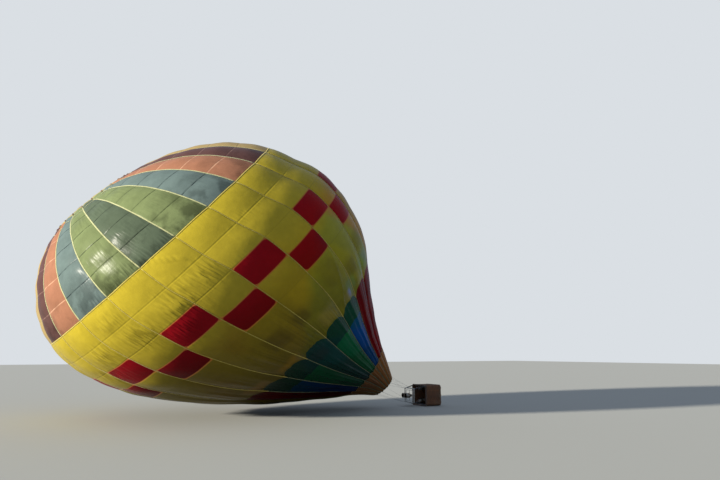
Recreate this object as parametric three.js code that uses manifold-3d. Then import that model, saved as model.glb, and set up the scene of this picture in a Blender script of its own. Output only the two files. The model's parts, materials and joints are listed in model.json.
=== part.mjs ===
// Hot air balloon, half way through being stood up: the envelope leans over, the basket lies on its side.
// Units are millimetres. +X runs from the crown to the basket, +Z is up, +Y is across.
// The origin is the point of lift in the middle of the envelope, HEIGHT_OF_ORIGIN above the ground.

import * as THREE from 'three';
import { mergeVertices } from 'three/addons/utils/BufferGeometryUtils.js';
import Module from 'manifold-3d';

const wasm = await Module();
wasm.setup();

// Driving sizes
const HEIGHT_OF_ORIGIN = 7200;
const SEAT_GAP = 0.3;             // left between pieces that touch
const DEG = Math.PI / 180;

// Envelope
const GORES = 24;
const SHELL = 10;                 // thickness of the fabric shell
const RING_SQUASH = 0.982;        // rings are a little flatter in the leaning plane
const FIRST_SEAM = 130.83 * DEG;  // seam 0, measured round each ring from +Y through up
const FACETS = 4;                 // flat facets across a gore
const VENT_EDGE = 3400;           // distances along a gore from the crown
const SKIRT_TOP = 24800;
const MOUTH_EDGE = 27000;
const GORE_ROWS = 20;
const SKIRT_ROWS = 3;

// Rings that the envelope's shape is drawn through, from crown to mouth: distance along a gore,
// centre in X, centre above the ground, tilt of the ring's plane from upright in degrees, radius.
const RINGS = [
  { along: 0, x: -7350, height: 10780, tilt: 45.5, radius: 0 },
  { along: 2500, x: -7165, height: 10800, tilt: 44.7, radius: 2060 },
  { along: 5200, x: -6310, height: 10565, tilt: 43.3, radius: 4445 },
  { along: 7900, x: -4954, height: 9887, tilt: 42.5, radius: 6450 },
  { along: 10000, x: -3521, height: 9099, tilt: 42.8, radius: 7535 },
  { along: 11700, x: -2332, height: 8405, tilt: 43.0, radius: 7935 },
  { along: 13300, x: -1146, height: 7850, tilt: 43.0, radius: 8115 },
  { along: 14850, x: 0, height: 7175, tilt: 43.3, radius: 7965 },
  { along: 16400, x: 1106, height: 6536, tilt: 43.2, radius: 7570 },
  { along: 18000, x: 2699, height: 5622, tilt: 42.2, radius: 6700 },
  { along: 19700, x: 4137, height: 4775, tilt: 39.7, radius: 5470 },
  { along: 21300, x: 5410, height: 3956, tilt: 37.6, radius: 4275 },
  { along: 22950, x: 6690, height: 3169, tilt: 36.7, radius: 3095 },
  { along: 24600, x: 7976, height: 2455, tilt: 35.5, radius: 2050 },
  { along: 25800, x: 8839, height: 1932, tilt: 38.6, radius: 1405 },
  { along: 27000, x: 9730, height: 1306, tilt: 45.3, radius: 780 },
];

// How far the cloth between two tapes bellies out in the middle of a gore
const BELLY = [
  { along: 0, out: 0 },
  { along: 3400, out: 35 },
  { along: 6000, out: 75 },
  { along: 14000, out: 90 },
  { along: 17000, out: 105 },
  { along: 19800, out: 145 },
  { along: 22500, out: 155 },
  { along: 24800, out: 95 },
  { along: 27000, out: 30 },
];

// Parachute vent, held shut against the inside of the crown
const VENT_PANEL_EDGE = 3900;     // how far along a gore its edge reaches
const VENT_SEAT = 0.4;            // from the envelope's inner side, which it rests against
const VENT_PANEL_ROWS = 4;        // rows of facets inside the vent's hole
const CROWN_RING = { radius: 150, tube: 10, depth: -6 };
const VENT_TAPE = { width: 50, thickness: 4, depth: -2, end_gap: 4 * SEAT_GAP };

// Basket, in its own frame: z runs from the runners to the rim, x is upward as it lies, y is across
const BASKET_BASE_X = 13600;
const BASKET = { x: 1260, y: 1560, wall: 40, corner: 140, base: 80, top: 1110 };
const RIM = { x: 1300, y: 1600, width: 80, corner: 150, height: 70 };
const RUNNER = { count: 3, spacing: 430, width: 70, height: 50, length: 1480 };
const FLOOR = { thickness: 30, x: 1240, y: 1540, corner: 130 };
const STEP_HOLE = { width: 150, height: 110, low: 330, high: 700, aside: 230, through: 160 };
const TANK = {
  radius: 160, height: 860, from_wall: 12, foot: 20, foot_share: 0.8, belt_low: 60, belt_high: 690,
  shoulder: 760, collar_share: 0.55, collar_wall_share: 0.05, collar: 775, top: 790, segments: 20,
};
const UPRIGHT = { radius: 32, segments: 12, foot_x: 560, foot_y: 710, head_x: 400, head_y: 500 };
const FRAME = { x: 900, y: 1100, width: 50, height: 50, bottom: 1850, corner: 70 };
const GIMBAL = { x: 660, y: 800, width: 30, height: 30, corner: 60, pin: 12, pin_gap: 0.5 };
const BURNER = {
  across: 165, can_radius: 145, can_wall: 6, can_bottom: 60, can_top: 390, cone: 70, cone_share: 0.75,
  segments: 20,
};
const BLOCK = { x: 150, y: 480, height: 60, neck_radius: 40 };
const VALVE = {
  radius: 28, depth: 130, lever_length: 150, lever_width: 26, lever_low: 120, lever_high: 104,
  lever_middle: 60,
};
const COIL = {
  radius: 118, tube: 10, turns: 4, pitch: 34, start: 70, riser_share: 0.72, steps_per_turn: 14,
  elbow_rise: 4, elbow_aside: 6,
};
const WIRE = { radius: 4, eye: 7, sides: 6, per_corner: 3 };
const CARABINER = { x: 40, y: 40, height: 90, eye_below_top: 12 };

// Colours read from the photo
const COLOURS = {
  yellow: 0xc8b43c, green: 0x7d8c50, dark_green: 0x4d6145, slate: 0x5d7078, salmon: 0xb86a55,
  brown: 0x5a3c3a,
  tan: 0x7a542a, steel: 0xa8a8a4, dark_steel: 0x3a3b3d, wicker: 0x5a3a24, suede: 0x3b2a22,
  tank: 0xb4b4b0, wood: 0x8a6a42, wire: 0x8e8e8c, cover: 0x24262c,
};
const CAP_COLOURS = ['brown', 'salmon', 'slate', 'green', 'dark_green', 'green', 'slate', 'salmon', 'brown',
  'yellow', 'yellow', 'yellow'];

function material(colour, roughness, metalness) {
  return new THREE.MeshStandardMaterial({ color: COLOURS[colour], roughness, metalness });
}

const balloon = new THREE.Group();

function addMesh(parent, name, geometry, meshMaterial) {
  const mesh = new THREE.Mesh(geometry, meshMaterial);
  mesh.name = name;
  parent.add(mesh);
  return mesh;
}

// Solids for the boolean cuts and joins
function toSolid(geometry) {
  const bare = geometry.clone();
  bare.deleteAttribute('normal');
  bare.deleteAttribute('uv');
  const merged = mergeVertices(bare, 1e-3);
  return new wasm.Manifold(new wasm.Mesh({
    numProp: 3,
    vertProperties: new Float32Array(merged.attributes.position.array),
    triVerts: new Uint32Array(merged.index.array),
  }));
}

function toGeometry(solid) {
  const mesh = solid.getMesh();
  const geometry = new THREE.BufferGeometry();
  geometry.setAttribute('position', new THREE.BufferAttribute(new Float32Array(mesh.vertProperties), 3));
  geometry.setIndex(new THREE.BufferAttribute(new Uint32Array(mesh.triVerts), 1));
  geometry.computeVertexNormals();
  return geometry;
}

function joined(geometries) {
  return toGeometry(geometries.map(toSolid).reduce((whole, solid) => whole.add(solid)));
}

function cut(body, tools) {
  return toGeometry(tools.map(toSolid).reduce((whole, tool) => whole.subtract(tool), toSolid(body)));
}

// Smooth curve through the rings for one of their columns
function ringValue(column, along) {
  let i = RINGS.findIndex((ring) => ring.along >= along);
  i = Math.min(Math.max(i, 1), RINGS.length - 1);
  const slope = (k) => {
    const chord = (a, b) => (RINGS[b][column] - RINGS[a][column]) / (RINGS[b].along - RINGS[a].along);
    if (k === 0) return chord(0, 1);
    if (k === RINGS.length - 1) return chord(k - 1, k);
    const before = RINGS[k].along - RINGS[k - 1].along;
    const after = RINGS[k + 1].along - RINGS[k].along;
    return (chord(k - 1, k) * after + chord(k, k + 1) * before) / (before + after);
  };
  const step = RINGS[i].along - RINGS[i - 1].along;
  const t = (along - RINGS[i - 1].along) / step;
  return RINGS[i - 1][column] * (2 * t ** 3 - 3 * t ** 2 + 1)
    + slope(i - 1) * step * (t ** 3 - 2 * t ** 2 + t)
    + RINGS[i][column] * (3 * t ** 2 - 2 * t ** 3) + slope(i) * step * (t ** 3 - t ** 2);
}

function envelopePoint(along, angle) {
  const tilt = ringValue('tilt', along) * DEG;
  const radius = ringValue('radius', along);
  const up = radius * RING_SQUASH * Math.sin(angle);
  return new THREE.Vector3(
    ringValue('x', along) + up * Math.sin(tilt),
    radius * Math.cos(angle),
    ringValue('height', along) + up * Math.cos(tilt) - HEIGHT_OF_ORIGIN,
  );
}

// Directions along, round and out of the envelope, by small steps; at the crown's point they are taken
// NEAREST away
const NEAREST = 60;
const STEP_ALONG = 5;
const STEP_ROUND = 0.002;

function alongDirection(along, angle) {
  return envelopePoint(along + STEP_ALONG, angle).sub(envelopePoint(along - STEP_ALONG, angle)).normalize();
}

function roundDirection(along, angle) {
  return envelopePoint(along, angle + STEP_ROUND).sub(envelopePoint(along, angle - STEP_ROUND)).normalize();
}

function envelopeNormal(along, angle) {
  const near = Math.max(along, NEAREST);
  return roundDirection(near, angle).cross(alongDirection(near, angle)).normalize();
}

function shellPoint(along, angle, depth) {
  return envelopePoint(along, angle).addScaledVector(envelopeNormal(along, angle), -depth);
}

function seamAngle(seam) {
  return FIRST_SEAM + seam * 2 * Math.PI / GORES;
}

function belly(along) {
  const next = BELLY.findIndex((entry) => entry.along > along);
  if (next < 0) return BELLY[BELLY.length - 1].out;
  const [a, b] = [BELLY[next - 1], BELLY[next]];
  return a.out + (b.out - a.out) * (along - a.along) / (b.along - a.along);
}

// Point on the bellied cloth. Place counts gores round the envelope, so whole numbers are the tapes, where
// the cloth stays on its ring. Depth is measured square to the facets, so the shell is as thick at a tape
// as elsewhere.
function clothPoint(along, place, depth) {
  const angle = seamAngle(place);
  const width = 2 * ringValue('radius', along) * Math.sin(Math.PI / GORES);
  const across = place - Math.floor(place);
  const out = belly(along) * 4 * across * (1 - across);
  const slope = across ? belly(along) * 4 * (1 - 2 * across) / width : 0;
  const tapeFacet = across ? 0 : belly(along) * 4 * (1 - 1 / FACETS) / width;
  const normal = envelopeNormal(along, angle);
  const inward = roundDirection(along, angle).multiplyScalar(slope).sub(normal).normalize();
  return envelopePoint(along, angle).addScaledVector(normal, out)
    .addScaledVector(inward, depth * Math.hypot(1, tapeFacet));
}

// Closed shell from an outer and an inner grid of points, rows[i][k]; a closed ring has no side walls
function shellGeometry(outer, inner, isRing) {
  const rows = outer.length;
  const columns = outer[0].length;
  const points = [...outer.flat(), ...inner.flat()];
  const out = (i, k) => i * columns + (k % columns);
  const inn = (i, k) => rows * columns + out(i, k);
  const faces = [];
  const quad = (a, b, c, d) => faces.push(a, b, c, a, c, d);
  const spans = isRing ? columns : columns - 1;
  for (let i = 0; i < rows - 1; i += 1) {
    for (let k = 0; k < spans; k += 1) {
      quad(out(i, k), out(i, k + 1), out(i + 1, k + 1), out(i + 1, k));
      quad(inn(i, k), inn(i + 1, k), inn(i + 1, k + 1), inn(i, k + 1));
    }
    if (!isRing) {
      const last = columns - 1;
      quad(out(i, 0), out(i + 1, 0), inn(i + 1, 0), inn(i, 0));
      quad(out(i, last), inn(i, last), inn(i + 1, last), out(i + 1, last));
    }
  }
  for (let k = 0; k < spans; k += 1) {
    quad(out(0, k), inn(0, k), inn(0, k + 1), out(0, k + 1));
    quad(out(rows - 1, k), out(rows - 1, k + 1), inn(rows - 1, k + 1), inn(rows - 1, k));
  }
  const geometry = new THREE.BufferGeometry().setFromPoints(points);
  geometry.setIndex(faces);
  geometry.computeVertexNormals();
  return geometry;
}

function rowsBetween(start, end, count) {
  return Array.from({ length: count }, (_, i) => start + (end - start) * i / (count - 1));
}

// Places of the facets' edges, counted in gores from the first to the last
function facetEdges(first, last) {
  return Array.from({ length: (last - first) * FACETS + 1 }, (_, k) => first + k / FACETS);
}

// Gores: long panels from the vent's edge to the skirt
const goreAlongs = [VENT_EDGE, ...rowsBetween(VENT_PANEL_EDGE, SKIRT_TOP - SEAT_GAP, GORE_ROWS - 1)];

function goreGeometry(index) {
  const places = facetEdges(index, index + 1);
  const last = places.length - 1;
  const grid = (depth) => goreAlongs.map((along) => {
    const points = places.map((place) => clothPoint(along, place, depth));
    const sideGap = points[last].clone().sub(points[0]).setLength(SEAT_GAP / 2);
    points[0].add(sideGap);
    points[last].sub(sideGap);
    return points;
  });
  return shellGeometry(grid(0), grid(SHELL), false);
}

for (let index = 0; index < GORES; index += 1) {
  const number = String(index + 1).padStart(2, '0');
  const colour = CAP_COLOURS[index % CAP_COLOURS.length];
  addMesh(balloon, `gore_${number}`, goreGeometry(index), material(colour, 0.7, 0));
}

// Skirt of fireproof cloth round the mouth
function skirtGeometry() {
  const places = facetEdges(0, GORES).slice(0, -1);
  const grid = (depth) => rowsBetween(SKIRT_TOP, MOUTH_EDGE, SKIRT_ROWS).map(
    (along) => places.map((place) => clothPoint(along, place, depth)),
  );
  return shellGeometry(grid(0), grid(SHELL), true);
}
addMesh(balloon, 'mouth_skirt', skirtGeometry(), material('tan', 0.8, 0));

// Parachute vent panel, a shallow dish inside the crown; its facets under the gores follow theirs
const holeAlongs = rowsBetween(VENT_EDGE / VENT_PANEL_ROWS, VENT_EDGE, VENT_PANEL_ROWS);

function ventPanelGeometry() {
  const alongs = [...holeAlongs, VENT_PANEL_EDGE];
  const places = facetEdges(0, GORES).slice(0, -1);
  const columns = places.length;
  const points = [];
  [SHELL + VENT_SEAT, 2 * SHELL + VENT_SEAT].forEach((depth) => {
    points.push(shellPoint(0, 0, depth));
    alongs.forEach((along) => points.push(...places.map((place) => clothPoint(along, place, depth))));
  });
  const outer = (i, k) => 1 + i * columns + (k % columns);
  const innerApex = outer(alongs.length, 0);
  const inner = (i, k) => innerApex + outer(i, k);
  const edge = alongs.length - 1;
  const faces = [];
  const quad = (a, b, c, d) => faces.push(a, b, c, a, c, d);
  for (let k = 0; k < columns; k += 1) {
    faces.push(0, outer(0, k + 1), outer(0, k));
    faces.push(innerApex, inner(0, k), inner(0, k + 1));
    for (let i = 0; i < edge; i += 1) {
      quad(outer(i, k), outer(i, k + 1), outer(i + 1, k + 1), outer(i + 1, k));
      quad(inner(i, k), inner(i + 1, k), inner(i + 1, k + 1), inner(i, k + 1));
    }
    quad(outer(edge, k), outer(edge, k + 1), inner(edge, k + 1), inner(edge, k));
  }
  const geometry = new THREE.BufferGeometry().setFromPoints(points);
  geometry.setIndex(faces);
  geometry.computeVertexNormals();
  return geometry;
}
addMesh(balloon, 'vent_panel', ventPanelGeometry(), material('yellow', 0.7, 0));

// Crown ring with the load tapes that cross the vent's hole to the envelope's edge
function ventTapeGeometry(seam) {
  const angle = seamAngle(seam);
  const alongs = [CROWN_RING.radius, ...holeAlongs.slice(0, -1), VENT_EDGE - VENT_TAPE.end_gap];
  const grid = (depth) => alongs.map((along) => {
    const middle = shellPoint(along, angle, depth);
    const across = roundDirection(VENT_EDGE, angle).multiplyScalar(VENT_TAPE.width / 2);
    return [middle.clone().sub(across), middle.clone().add(across)];
  });
  return shellGeometry(grid(VENT_TAPE.depth), grid(VENT_TAPE.depth + VENT_TAPE.thickness), false);
}

function crownRingGeometry() {
  const tilt = RINGS[0].tilt * DEG;
  const ring = new THREE.TorusGeometry(CROWN_RING.radius, CROWN_RING.tube, 8, GORES * 2);
  ring.rotateY(Math.PI / 2 + tilt);
  const middle = shellPoint(CROWN_RING.radius, 0, CROWN_RING.depth).add(
    shellPoint(CROWN_RING.radius, Math.PI, CROWN_RING.depth),
  ).multiplyScalar(0.5);
  ring.translate(middle.x, middle.y, middle.z);
  return ring;
}
const tapes = Array.from({ length: GORES }, (_, seam) => ventTapeGeometry(seam));
addMesh(balloon, 'crown_ring', joined([crownRingGeometry(), ...tapes]), material('steel', 0.6, 0.3));

// Basket and all that stands on it, laid on its side
const basket = new THREE.Group();
basket.rotation.y = -Math.PI / 2;
basket.position.set(BASKET_BASE_X, 0, RIM.x / 2 - HEIGHT_OF_ORIGIN);
balloon.add(basket);

function roundedRectangle(x, y, corner) {
  const shape = new THREE.Shape();
  shape.moveTo(-x / 2 + corner, -y / 2);
  shape.lineTo(x / 2 - corner, -y / 2);
  shape.absarc(x / 2 - corner, -y / 2 + corner, corner, -Math.PI / 2, 0);
  shape.lineTo(x / 2, y / 2 - corner);
  shape.absarc(x / 2 - corner, y / 2 - corner, corner, 0, Math.PI / 2);
  shape.lineTo(-x / 2 + corner, y / 2);
  shape.absarc(-x / 2 + corner, y / 2 - corner, corner, Math.PI / 2, Math.PI);
  shape.lineTo(-x / 2, -y / 2 + corner);
  shape.absarc(-x / 2 + corner, -y / 2 + corner, corner, Math.PI, Math.PI * 1.5);
  return shape;
}

function slab(x, y, corner, bottom, top, ringWidth = 0) {
  const shape = roundedRectangle(x, y, corner);
  if (ringWidth) {
    shape.holes.push(roundedRectangle(x - 2 * ringWidth, y - 2 * ringWidth, corner - ringWidth));
  }
  const options = { depth: top - bottom, bevelEnabled: false, curveSegments: 4 };
  return new THREE.ExtrudeGeometry(shape, options).translate(0, 0, bottom);
}

function box(x, y, bottom, top, atX = 0, atY = 0) {
  return new THREE.BoxGeometry(x, y, top - bottom).translate(atX, atY, (bottom + top) / 2);
}

function cylinder(radius, bottom, top, atX, atY, segments) {
  const geometry = new THREE.CylinderGeometry(radius, radius, top - bottom, segments);
  return geometry.rotateX(Math.PI / 2).translate(atX, atY, (bottom + top) / 2);
}

function rod(from, to, radius, segments) {
  const length = from.distanceTo(to);
  const geometry = new THREE.CylinderGeometry(radius, radius, length, segments);
  const turn = new THREE.Quaternion().setFromUnitVectors(
    new THREE.Vector3(0, 1, 0), to.clone().sub(from).normalize(),
  );
  const middle = from.clone().add(to).multiplyScalar(0.5);
  return geometry.applyQuaternion(turn).translate(middle.x, middle.y, middle.z);
}

// Wicker walls with step holes in the two long sides
const stepHoles = [];
[-1, 1].forEach((side) => [-1, 1].forEach((half) => {
  const bottom = half < 0 ? STEP_HOLE.low : STEP_HOLE.high;
  stepHoles.push(box(STEP_HOLE.through, STEP_HOLE.width, bottom, bottom + STEP_HOLE.height,
    side * BASKET.x / 2, half * STEP_HOLE.aside));
}));
const walls = slab(BASKET.x, BASKET.y, BASKET.corner, BASKET.base + SEAT_GAP, BASKET.top, BASKET.wall);
addMesh(basket, 'basket_walls', cut(walls, stepHoles), material('wicker', 0.9, 0));

addMesh(basket, 'basket_floor',
  slab(FLOOR.x, FLOOR.y, FLOOR.corner, BASKET.base - FLOOR.thickness, BASKET.base),
  material('wood', 0.8, 0));
for (let index = 0; index < RUNNER.count; index += 1) {
  const atX = (index - (RUNNER.count - 1) / 2) * RUNNER.spacing;
  addMesh(basket, `runner_${index + 1}`,
    box(RUNNER.width, RUNNER.length, 0, RUNNER.height - SEAT_GAP, atX), material('wood', 0.8, 0));
}
const rimBottom = BASKET.top + SEAT_GAP;
const rimTop = rimBottom + RIM.height;
addMesh(basket, 'basket_rim', slab(RIM.x, RIM.y, RIM.corner, rimBottom, rimTop, RIM.width),
  material('suede', 0.85, 0));

// Fuel tanks, one in each corner
function tankGeometry() {
  const r = TANK.radius;
  const footRadius = r * TANK.foot_share;
  const collarRadius = r * TANK.collar_share;
  const collarInside = collarRadius - r * TANK.collar_wall_share;
  const profile = [[0, 0], [footRadius, 0], [footRadius, TANK.foot], [r, TANK.belt_low],
    [r, TANK.belt_high], [footRadius, TANK.shoulder], [collarRadius, TANK.collar],
    [collarRadius, TANK.height], [collarInside, TANK.height], [collarInside, TANK.top], [0, TANK.top]];
  const geometry = new THREE.LatheGeometry(profile.map(([x, y]) => new THREE.Vector2(x, y)), TANK.segments);
  return geometry.rotateX(Math.PI / 2);
}
const tankX = BASKET.x / 2 - BASKET.wall - TANK.from_wall - TANK.radius;
const tankY = BASKET.y / 2 - BASKET.wall - TANK.from_wall - TANK.radius;
const CORNERS = [
  { number: 1, x: -1, y: -1 }, { number: 2, x: -1, y: 1 },
  { number: 3, x: 1, y: -1 }, { number: 4, x: 1, y: 1 },
];
for (const corner of CORNERS) {
  const tank = addMesh(basket, `fuel_tank_${corner.number}`, tankGeometry(), material('tank', 0.4, 0.6));
  tank.position.set(corner.x * tankX, corner.y * tankY, BASKET.base + SEAT_GAP);
}

// Uprights in padded covers, from the rim's corners to the burner frame
for (const corner of CORNERS) {
  const bottom = rimTop + SEAT_GAP;
  const top = FRAME.bottom - SEAT_GAP;
  const geometry = cylinder(UPRIGHT.radius, bottom, top, 0, 0, UPRIGHT.segments);
  const leanX = corner.x * (UPRIGHT.head_x - UPRIGHT.foot_x) / (top - bottom);
  const leanY = corner.y * (UPRIGHT.head_y - UPRIGHT.foot_y) / (top - bottom);
  geometry.applyMatrix4(new THREE.Matrix4().set(
    1, 0, leanX, corner.x * UPRIGHT.foot_x - leanX * bottom,
    0, 1, leanY, corner.y * UPRIGHT.foot_y - leanY * bottom,
    0, 0, 1, 0,
    0, 0, 0, 1,
  ));
  addMesh(basket, `upright_${corner.number}`, geometry, material('cover', 0.9, 0));
}

// Burner frame
addMesh(basket, 'burner_frame',
  slab(FRAME.x, FRAME.y, FRAME.corner, FRAME.bottom, FRAME.bottom + FRAME.height, FRAME.width),
  material('steel', 0.35, 0.9));

// Gimbal, turning on two pins along y, and the burners, turning in it on two pins along x
const pivotZ = FRAME.bottom + FRAME.height / 2;
const frameInnerY = FRAME.y / 2 - FRAME.width;
const gimbalInnerX = GIMBAL.x / 2 - GIMBAL.width;
const gimbalPins = [-1, 1].map((side) => rod(
  new THREE.Vector3(0, side * (GIMBAL.y / 2 - GIMBAL.width / 2), pivotZ),
  new THREE.Vector3(0, side * (frameInnerY - GIMBAL.pin_gap), pivotZ), GIMBAL.pin, 12,
));
const gimbalRing = slab(GIMBAL.x, GIMBAL.y, GIMBAL.corner, pivotZ - GIMBAL.height / 2,
  pivotZ + GIMBAL.height / 2, GIMBAL.width);
addMesh(basket, 'gimbal', joined([gimbalRing, ...gimbalPins]), material('steel', 0.35, 0.9));

const blockPins = [-1, 1].map((side) => rod(
  new THREE.Vector3(side * BLOCK.x / 3, 0, pivotZ),
  new THREE.Vector3(side * (gimbalInnerX - GIMBAL.pin_gap), 0, pivotZ), GIMBAL.pin, 12,
));
const blockBody = box(BLOCK.x, BLOCK.y, pivotZ - BLOCK.height / 2, pivotZ + BLOCK.height / 2);
const valves = [-1, 1].flatMap((side) => [
  cylinder(VALVE.radius, pivotZ - VALVE.depth, pivotZ, 0, side * BURNER.across, 12),
  box(VALVE.lever_length, VALVE.lever_width, pivotZ - VALVE.lever_low, pivotZ - VALVE.lever_high,
    VALVE.lever_middle, side * BURNER.across),
]);
const canNecks = [-1, 1].map((side) => cylinder(BLOCK.neck_radius, pivotZ, pivotZ + BURNER.can_bottom, 0,
  side * BURNER.across, 12));
addMesh(basket, 'burner_block', joined([blockBody, ...blockPins, ...valves, ...canNecks]),
  material('dark_steel', 0.4, 0.8));

// Flame cans, open at the top, each with its coil standing inside
function canGeometry() {
  const r = BURNER.can_radius;
  const { can_bottom: low, can_top: high, can_wall: wall } = BURNER;
  const neck = r * BURNER.cone_share;
  const shoulder = low + BURNER.cone;
  const profile = [[0, low], [neck, low], [r, shoulder], [r, high], [r - wall, high],
    [r - wall, shoulder + wall / 3], [neck - wall, low + wall], [0, low + wall]]
    .map(([x, y]) => new THREE.Vector2(x, y));
  return new THREE.LatheGeometry(profile, BURNER.segments).rotateX(Math.PI / 2);
}

class Helix extends THREE.Curve {
  constructor(radius, pitch, turns) {
    super();
    this.radius = radius;
    this.pitch = pitch;
    this.turns = turns;
  }

  getPoint(t, target = new THREE.Vector3()) {
    const angle = t * this.turns * 2 * Math.PI;
    const height = t * this.turns * this.pitch;
    return target.set(this.radius * Math.cos(angle), this.radius * Math.sin(angle), height);
  }
}

function coilGeometry() {
  const section = new THREE.Shape().absarc(0, 0, COIL.tube, 0, 2 * Math.PI);
  const path = new Helix(COIL.radius, COIL.pitch, COIL.turns);
  const steps = COIL.turns * COIL.steps_per_turn;
  const tube = new THREE.ExtrudeGeometry(section, { extrudePath: path, steps, curveSegments: 3 });
  const start = BURNER.can_bottom + COIL.start;
  tube.translate(0, 0, start);
  const low = BURNER.can_bottom + BURNER.can_wall + SEAT_GAP;
  const riserX = COIL.radius * COIL.riser_share;
  const riser = cylinder(COIL.tube, low, start, riserX, 0, 8);
  const elbow = rod(new THREE.Vector3(riserX, 0, start - COIL.elbow_rise),
    new THREE.Vector3(COIL.radius, COIL.elbow_aside, start), COIL.tube, 8);
  return joined([tube, riser, elbow]);
}

[-1, 1].forEach((side, index) => {
  const can = addMesh(basket, `burner_can_${index + 1}`, canGeometry(), material('steel', 0.3, 0.9));
  can.position.set(0, side * BURNER.across, pivotZ + SEAT_GAP);
  const coil = addMesh(basket, `burner_coil_${index + 1}`, coilGeometry(), material('steel', 0.4, 0.9));
  coil.position.set(0, side * BURNER.across, pivotZ + SEAT_GAP);
});

// Direction that the skirt's lower edge faces
function mouthFaceNormal(angle) {
  const onward = alongDirection(MOUTH_EDGE - STEP_ALONG, angle);
  const normal = roundDirection(MOUTH_EDGE, angle).cross(envelopeNormal(MOUTH_EDGE, angle)).normalize();
  return normal.multiplyScalar(Math.sign(normal.dot(onward)));
}

// Flying wires: three from each corner of the burner frame to the skirt's edge, with one snap link
basket.updateMatrixWorld(true);
const frameTop = FRAME.bottom + FRAME.height;
const wiresPerRing = WIRE.per_corner * CORNERS.length;
for (const corner of CORNERS) {
  const linkX = corner.x * (FRAME.x / 2 - FRAME.width / 2);
  const linkY = corner.y * (FRAME.y / 2 - FRAME.width / 2);
  const link = box(CARABINER.x, CARABINER.y, frameTop + SEAT_GAP, frameTop + CARABINER.height,
    linkX, linkY);
  link.applyMatrix4(basket.matrixWorld);
  const eyeZ = frameTop + CARABINER.height - CARABINER.eye_below_top;
  const eye = new THREE.Vector3(linkX, linkY, eyeZ).applyMatrix4(basket.matrixWorld);
  const middleAngle = Math.atan2(corner.x, corner.y);
  const pieces = [link];
  for (let index = 0; index < wiresPerRing; index += 1) {
    const seam = index * GORES / wiresPerRing;
    const angle = seamAngle(seam);
    const apart = Math.atan2(Math.sin(angle - middleAngle), Math.cos(angle - middleAngle));
    if (apart < -Math.PI / 4 || apart >= Math.PI / 4) continue;
    const start = shellPoint(MOUTH_EDGE, angle, SHELL / 2)
      .addScaledVector(mouthFaceNormal(angle), WIRE.eye + 2 * SEAT_GAP);
    pieces.push(new THREE.SphereGeometry(WIRE.eye, 8, 6).translate(start.x, start.y, start.z));
    pieces.push(rod(start, eye, WIRE.radius, WIRE.sides));
  }
  addMesh(balloon, `flying_wires_${corner.number}`, joined(pieces), material('wire', 0.5, 0.8));
}

export default balloon;
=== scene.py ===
"""Hot air balloon being stood up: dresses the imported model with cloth, tape, wire, wicker, leather and metal.

Lengths are metres in the model's own frame. +X runs from the crown to the basket, +Z is up, and the origin is the
point of lift, GROUND metres above the floor.
"""

import json
import logging
import math
from dataclasses import dataclass, field
from enum import Enum
from typing import Callable

import bpy
import numpy as np
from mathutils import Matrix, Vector


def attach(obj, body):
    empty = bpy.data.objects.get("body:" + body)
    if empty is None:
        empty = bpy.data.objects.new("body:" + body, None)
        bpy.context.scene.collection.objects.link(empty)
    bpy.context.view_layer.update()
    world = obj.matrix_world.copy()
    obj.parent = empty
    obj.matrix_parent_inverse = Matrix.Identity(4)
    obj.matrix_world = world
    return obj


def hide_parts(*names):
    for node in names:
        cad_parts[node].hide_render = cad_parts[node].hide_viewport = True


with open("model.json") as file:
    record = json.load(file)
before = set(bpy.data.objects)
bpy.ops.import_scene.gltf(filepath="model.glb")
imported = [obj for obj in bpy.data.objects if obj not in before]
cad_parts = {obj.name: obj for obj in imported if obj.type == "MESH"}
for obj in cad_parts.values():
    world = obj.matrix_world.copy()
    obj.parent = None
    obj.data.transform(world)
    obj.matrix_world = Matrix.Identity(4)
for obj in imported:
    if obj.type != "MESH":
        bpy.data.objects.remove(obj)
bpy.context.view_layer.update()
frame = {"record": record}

log = logging.getLogger("balloon")

GROUND = 7.2                      # height of the origin above the floor
GORES = 24
FIRST_SEAM = math.radians(130.83)  # seam 0, measured round a ring from +Y through up
GORE_ANGLE = 2 * math.pi / GORES
RING_SQUASH = 0.982
VENT_EDGE = 3.40                  # distances along a gore from the crown
VENT_PANEL_EDGE = 3.90
SKIRT_TOP = 24.80
MOUTH_EDGE = 27.0
SHELL = 0.010                     # thickness of the cloth shell, as in the model
SUN_DIRECTION = (0.9750, -0.01, -0.217)   # the way the key light travels
TURN_STEP = 0.002                 # small turns and steps for directions on the envelope
ALONG_STEP = 0.005
WAVE_BAND = math.pi / 10          # metres between a wave texture's bands at scale 1

BASKET_BASE = 13.6                # X of the runners' underside
BASKET_AXIS = -6.55               # Z of the basket's middle line
RIM_TOP = 1.1803                  # the rest are heights in the basket's own frame
FRAME_LOW = 1.85
PIVOT = 1.875
FRAME_CORNER = (0.425, 0.525)     # middle of the load frame's corner sockets
BURNER_ASIDE = 0.165
CORNERS = [(-1, -1), (-1, 1), (1, -1), (1, 1)]   # signs in x and y, in the order of the model's numbers

SUN_RAY = np.array(SUN_DIRECTION) / np.linalg.norm(SUN_DIRECTION)

Array = np.ndarray
Colour = tuple[float, float, float, float]
Form = tuple[Array, list[Array]]


def srgb(hex_colour: str) -> Colour:
    """Turns an sRGB hex colour to linear.

    Args:
        hex_colour: six hex digits.

    Returns:
        Linear red, green, blue and an alpha of 1.
    """
    parts = [int(hex_colour[i:i + 2], 16) / 255 for i in (0, 2, 4)]
    linear = [c / 12.92 if c <= 0.04045 else ((c + 0.055) / 1.055) ** 2.4 for c in parts]
    return (*linear, 1.0)


def per_metre(millimetres: float) -> float:
    """Scale of a pattern whose cell, thread or grain has this size on the real thing."""
    return 1000.0 / millimetres


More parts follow.
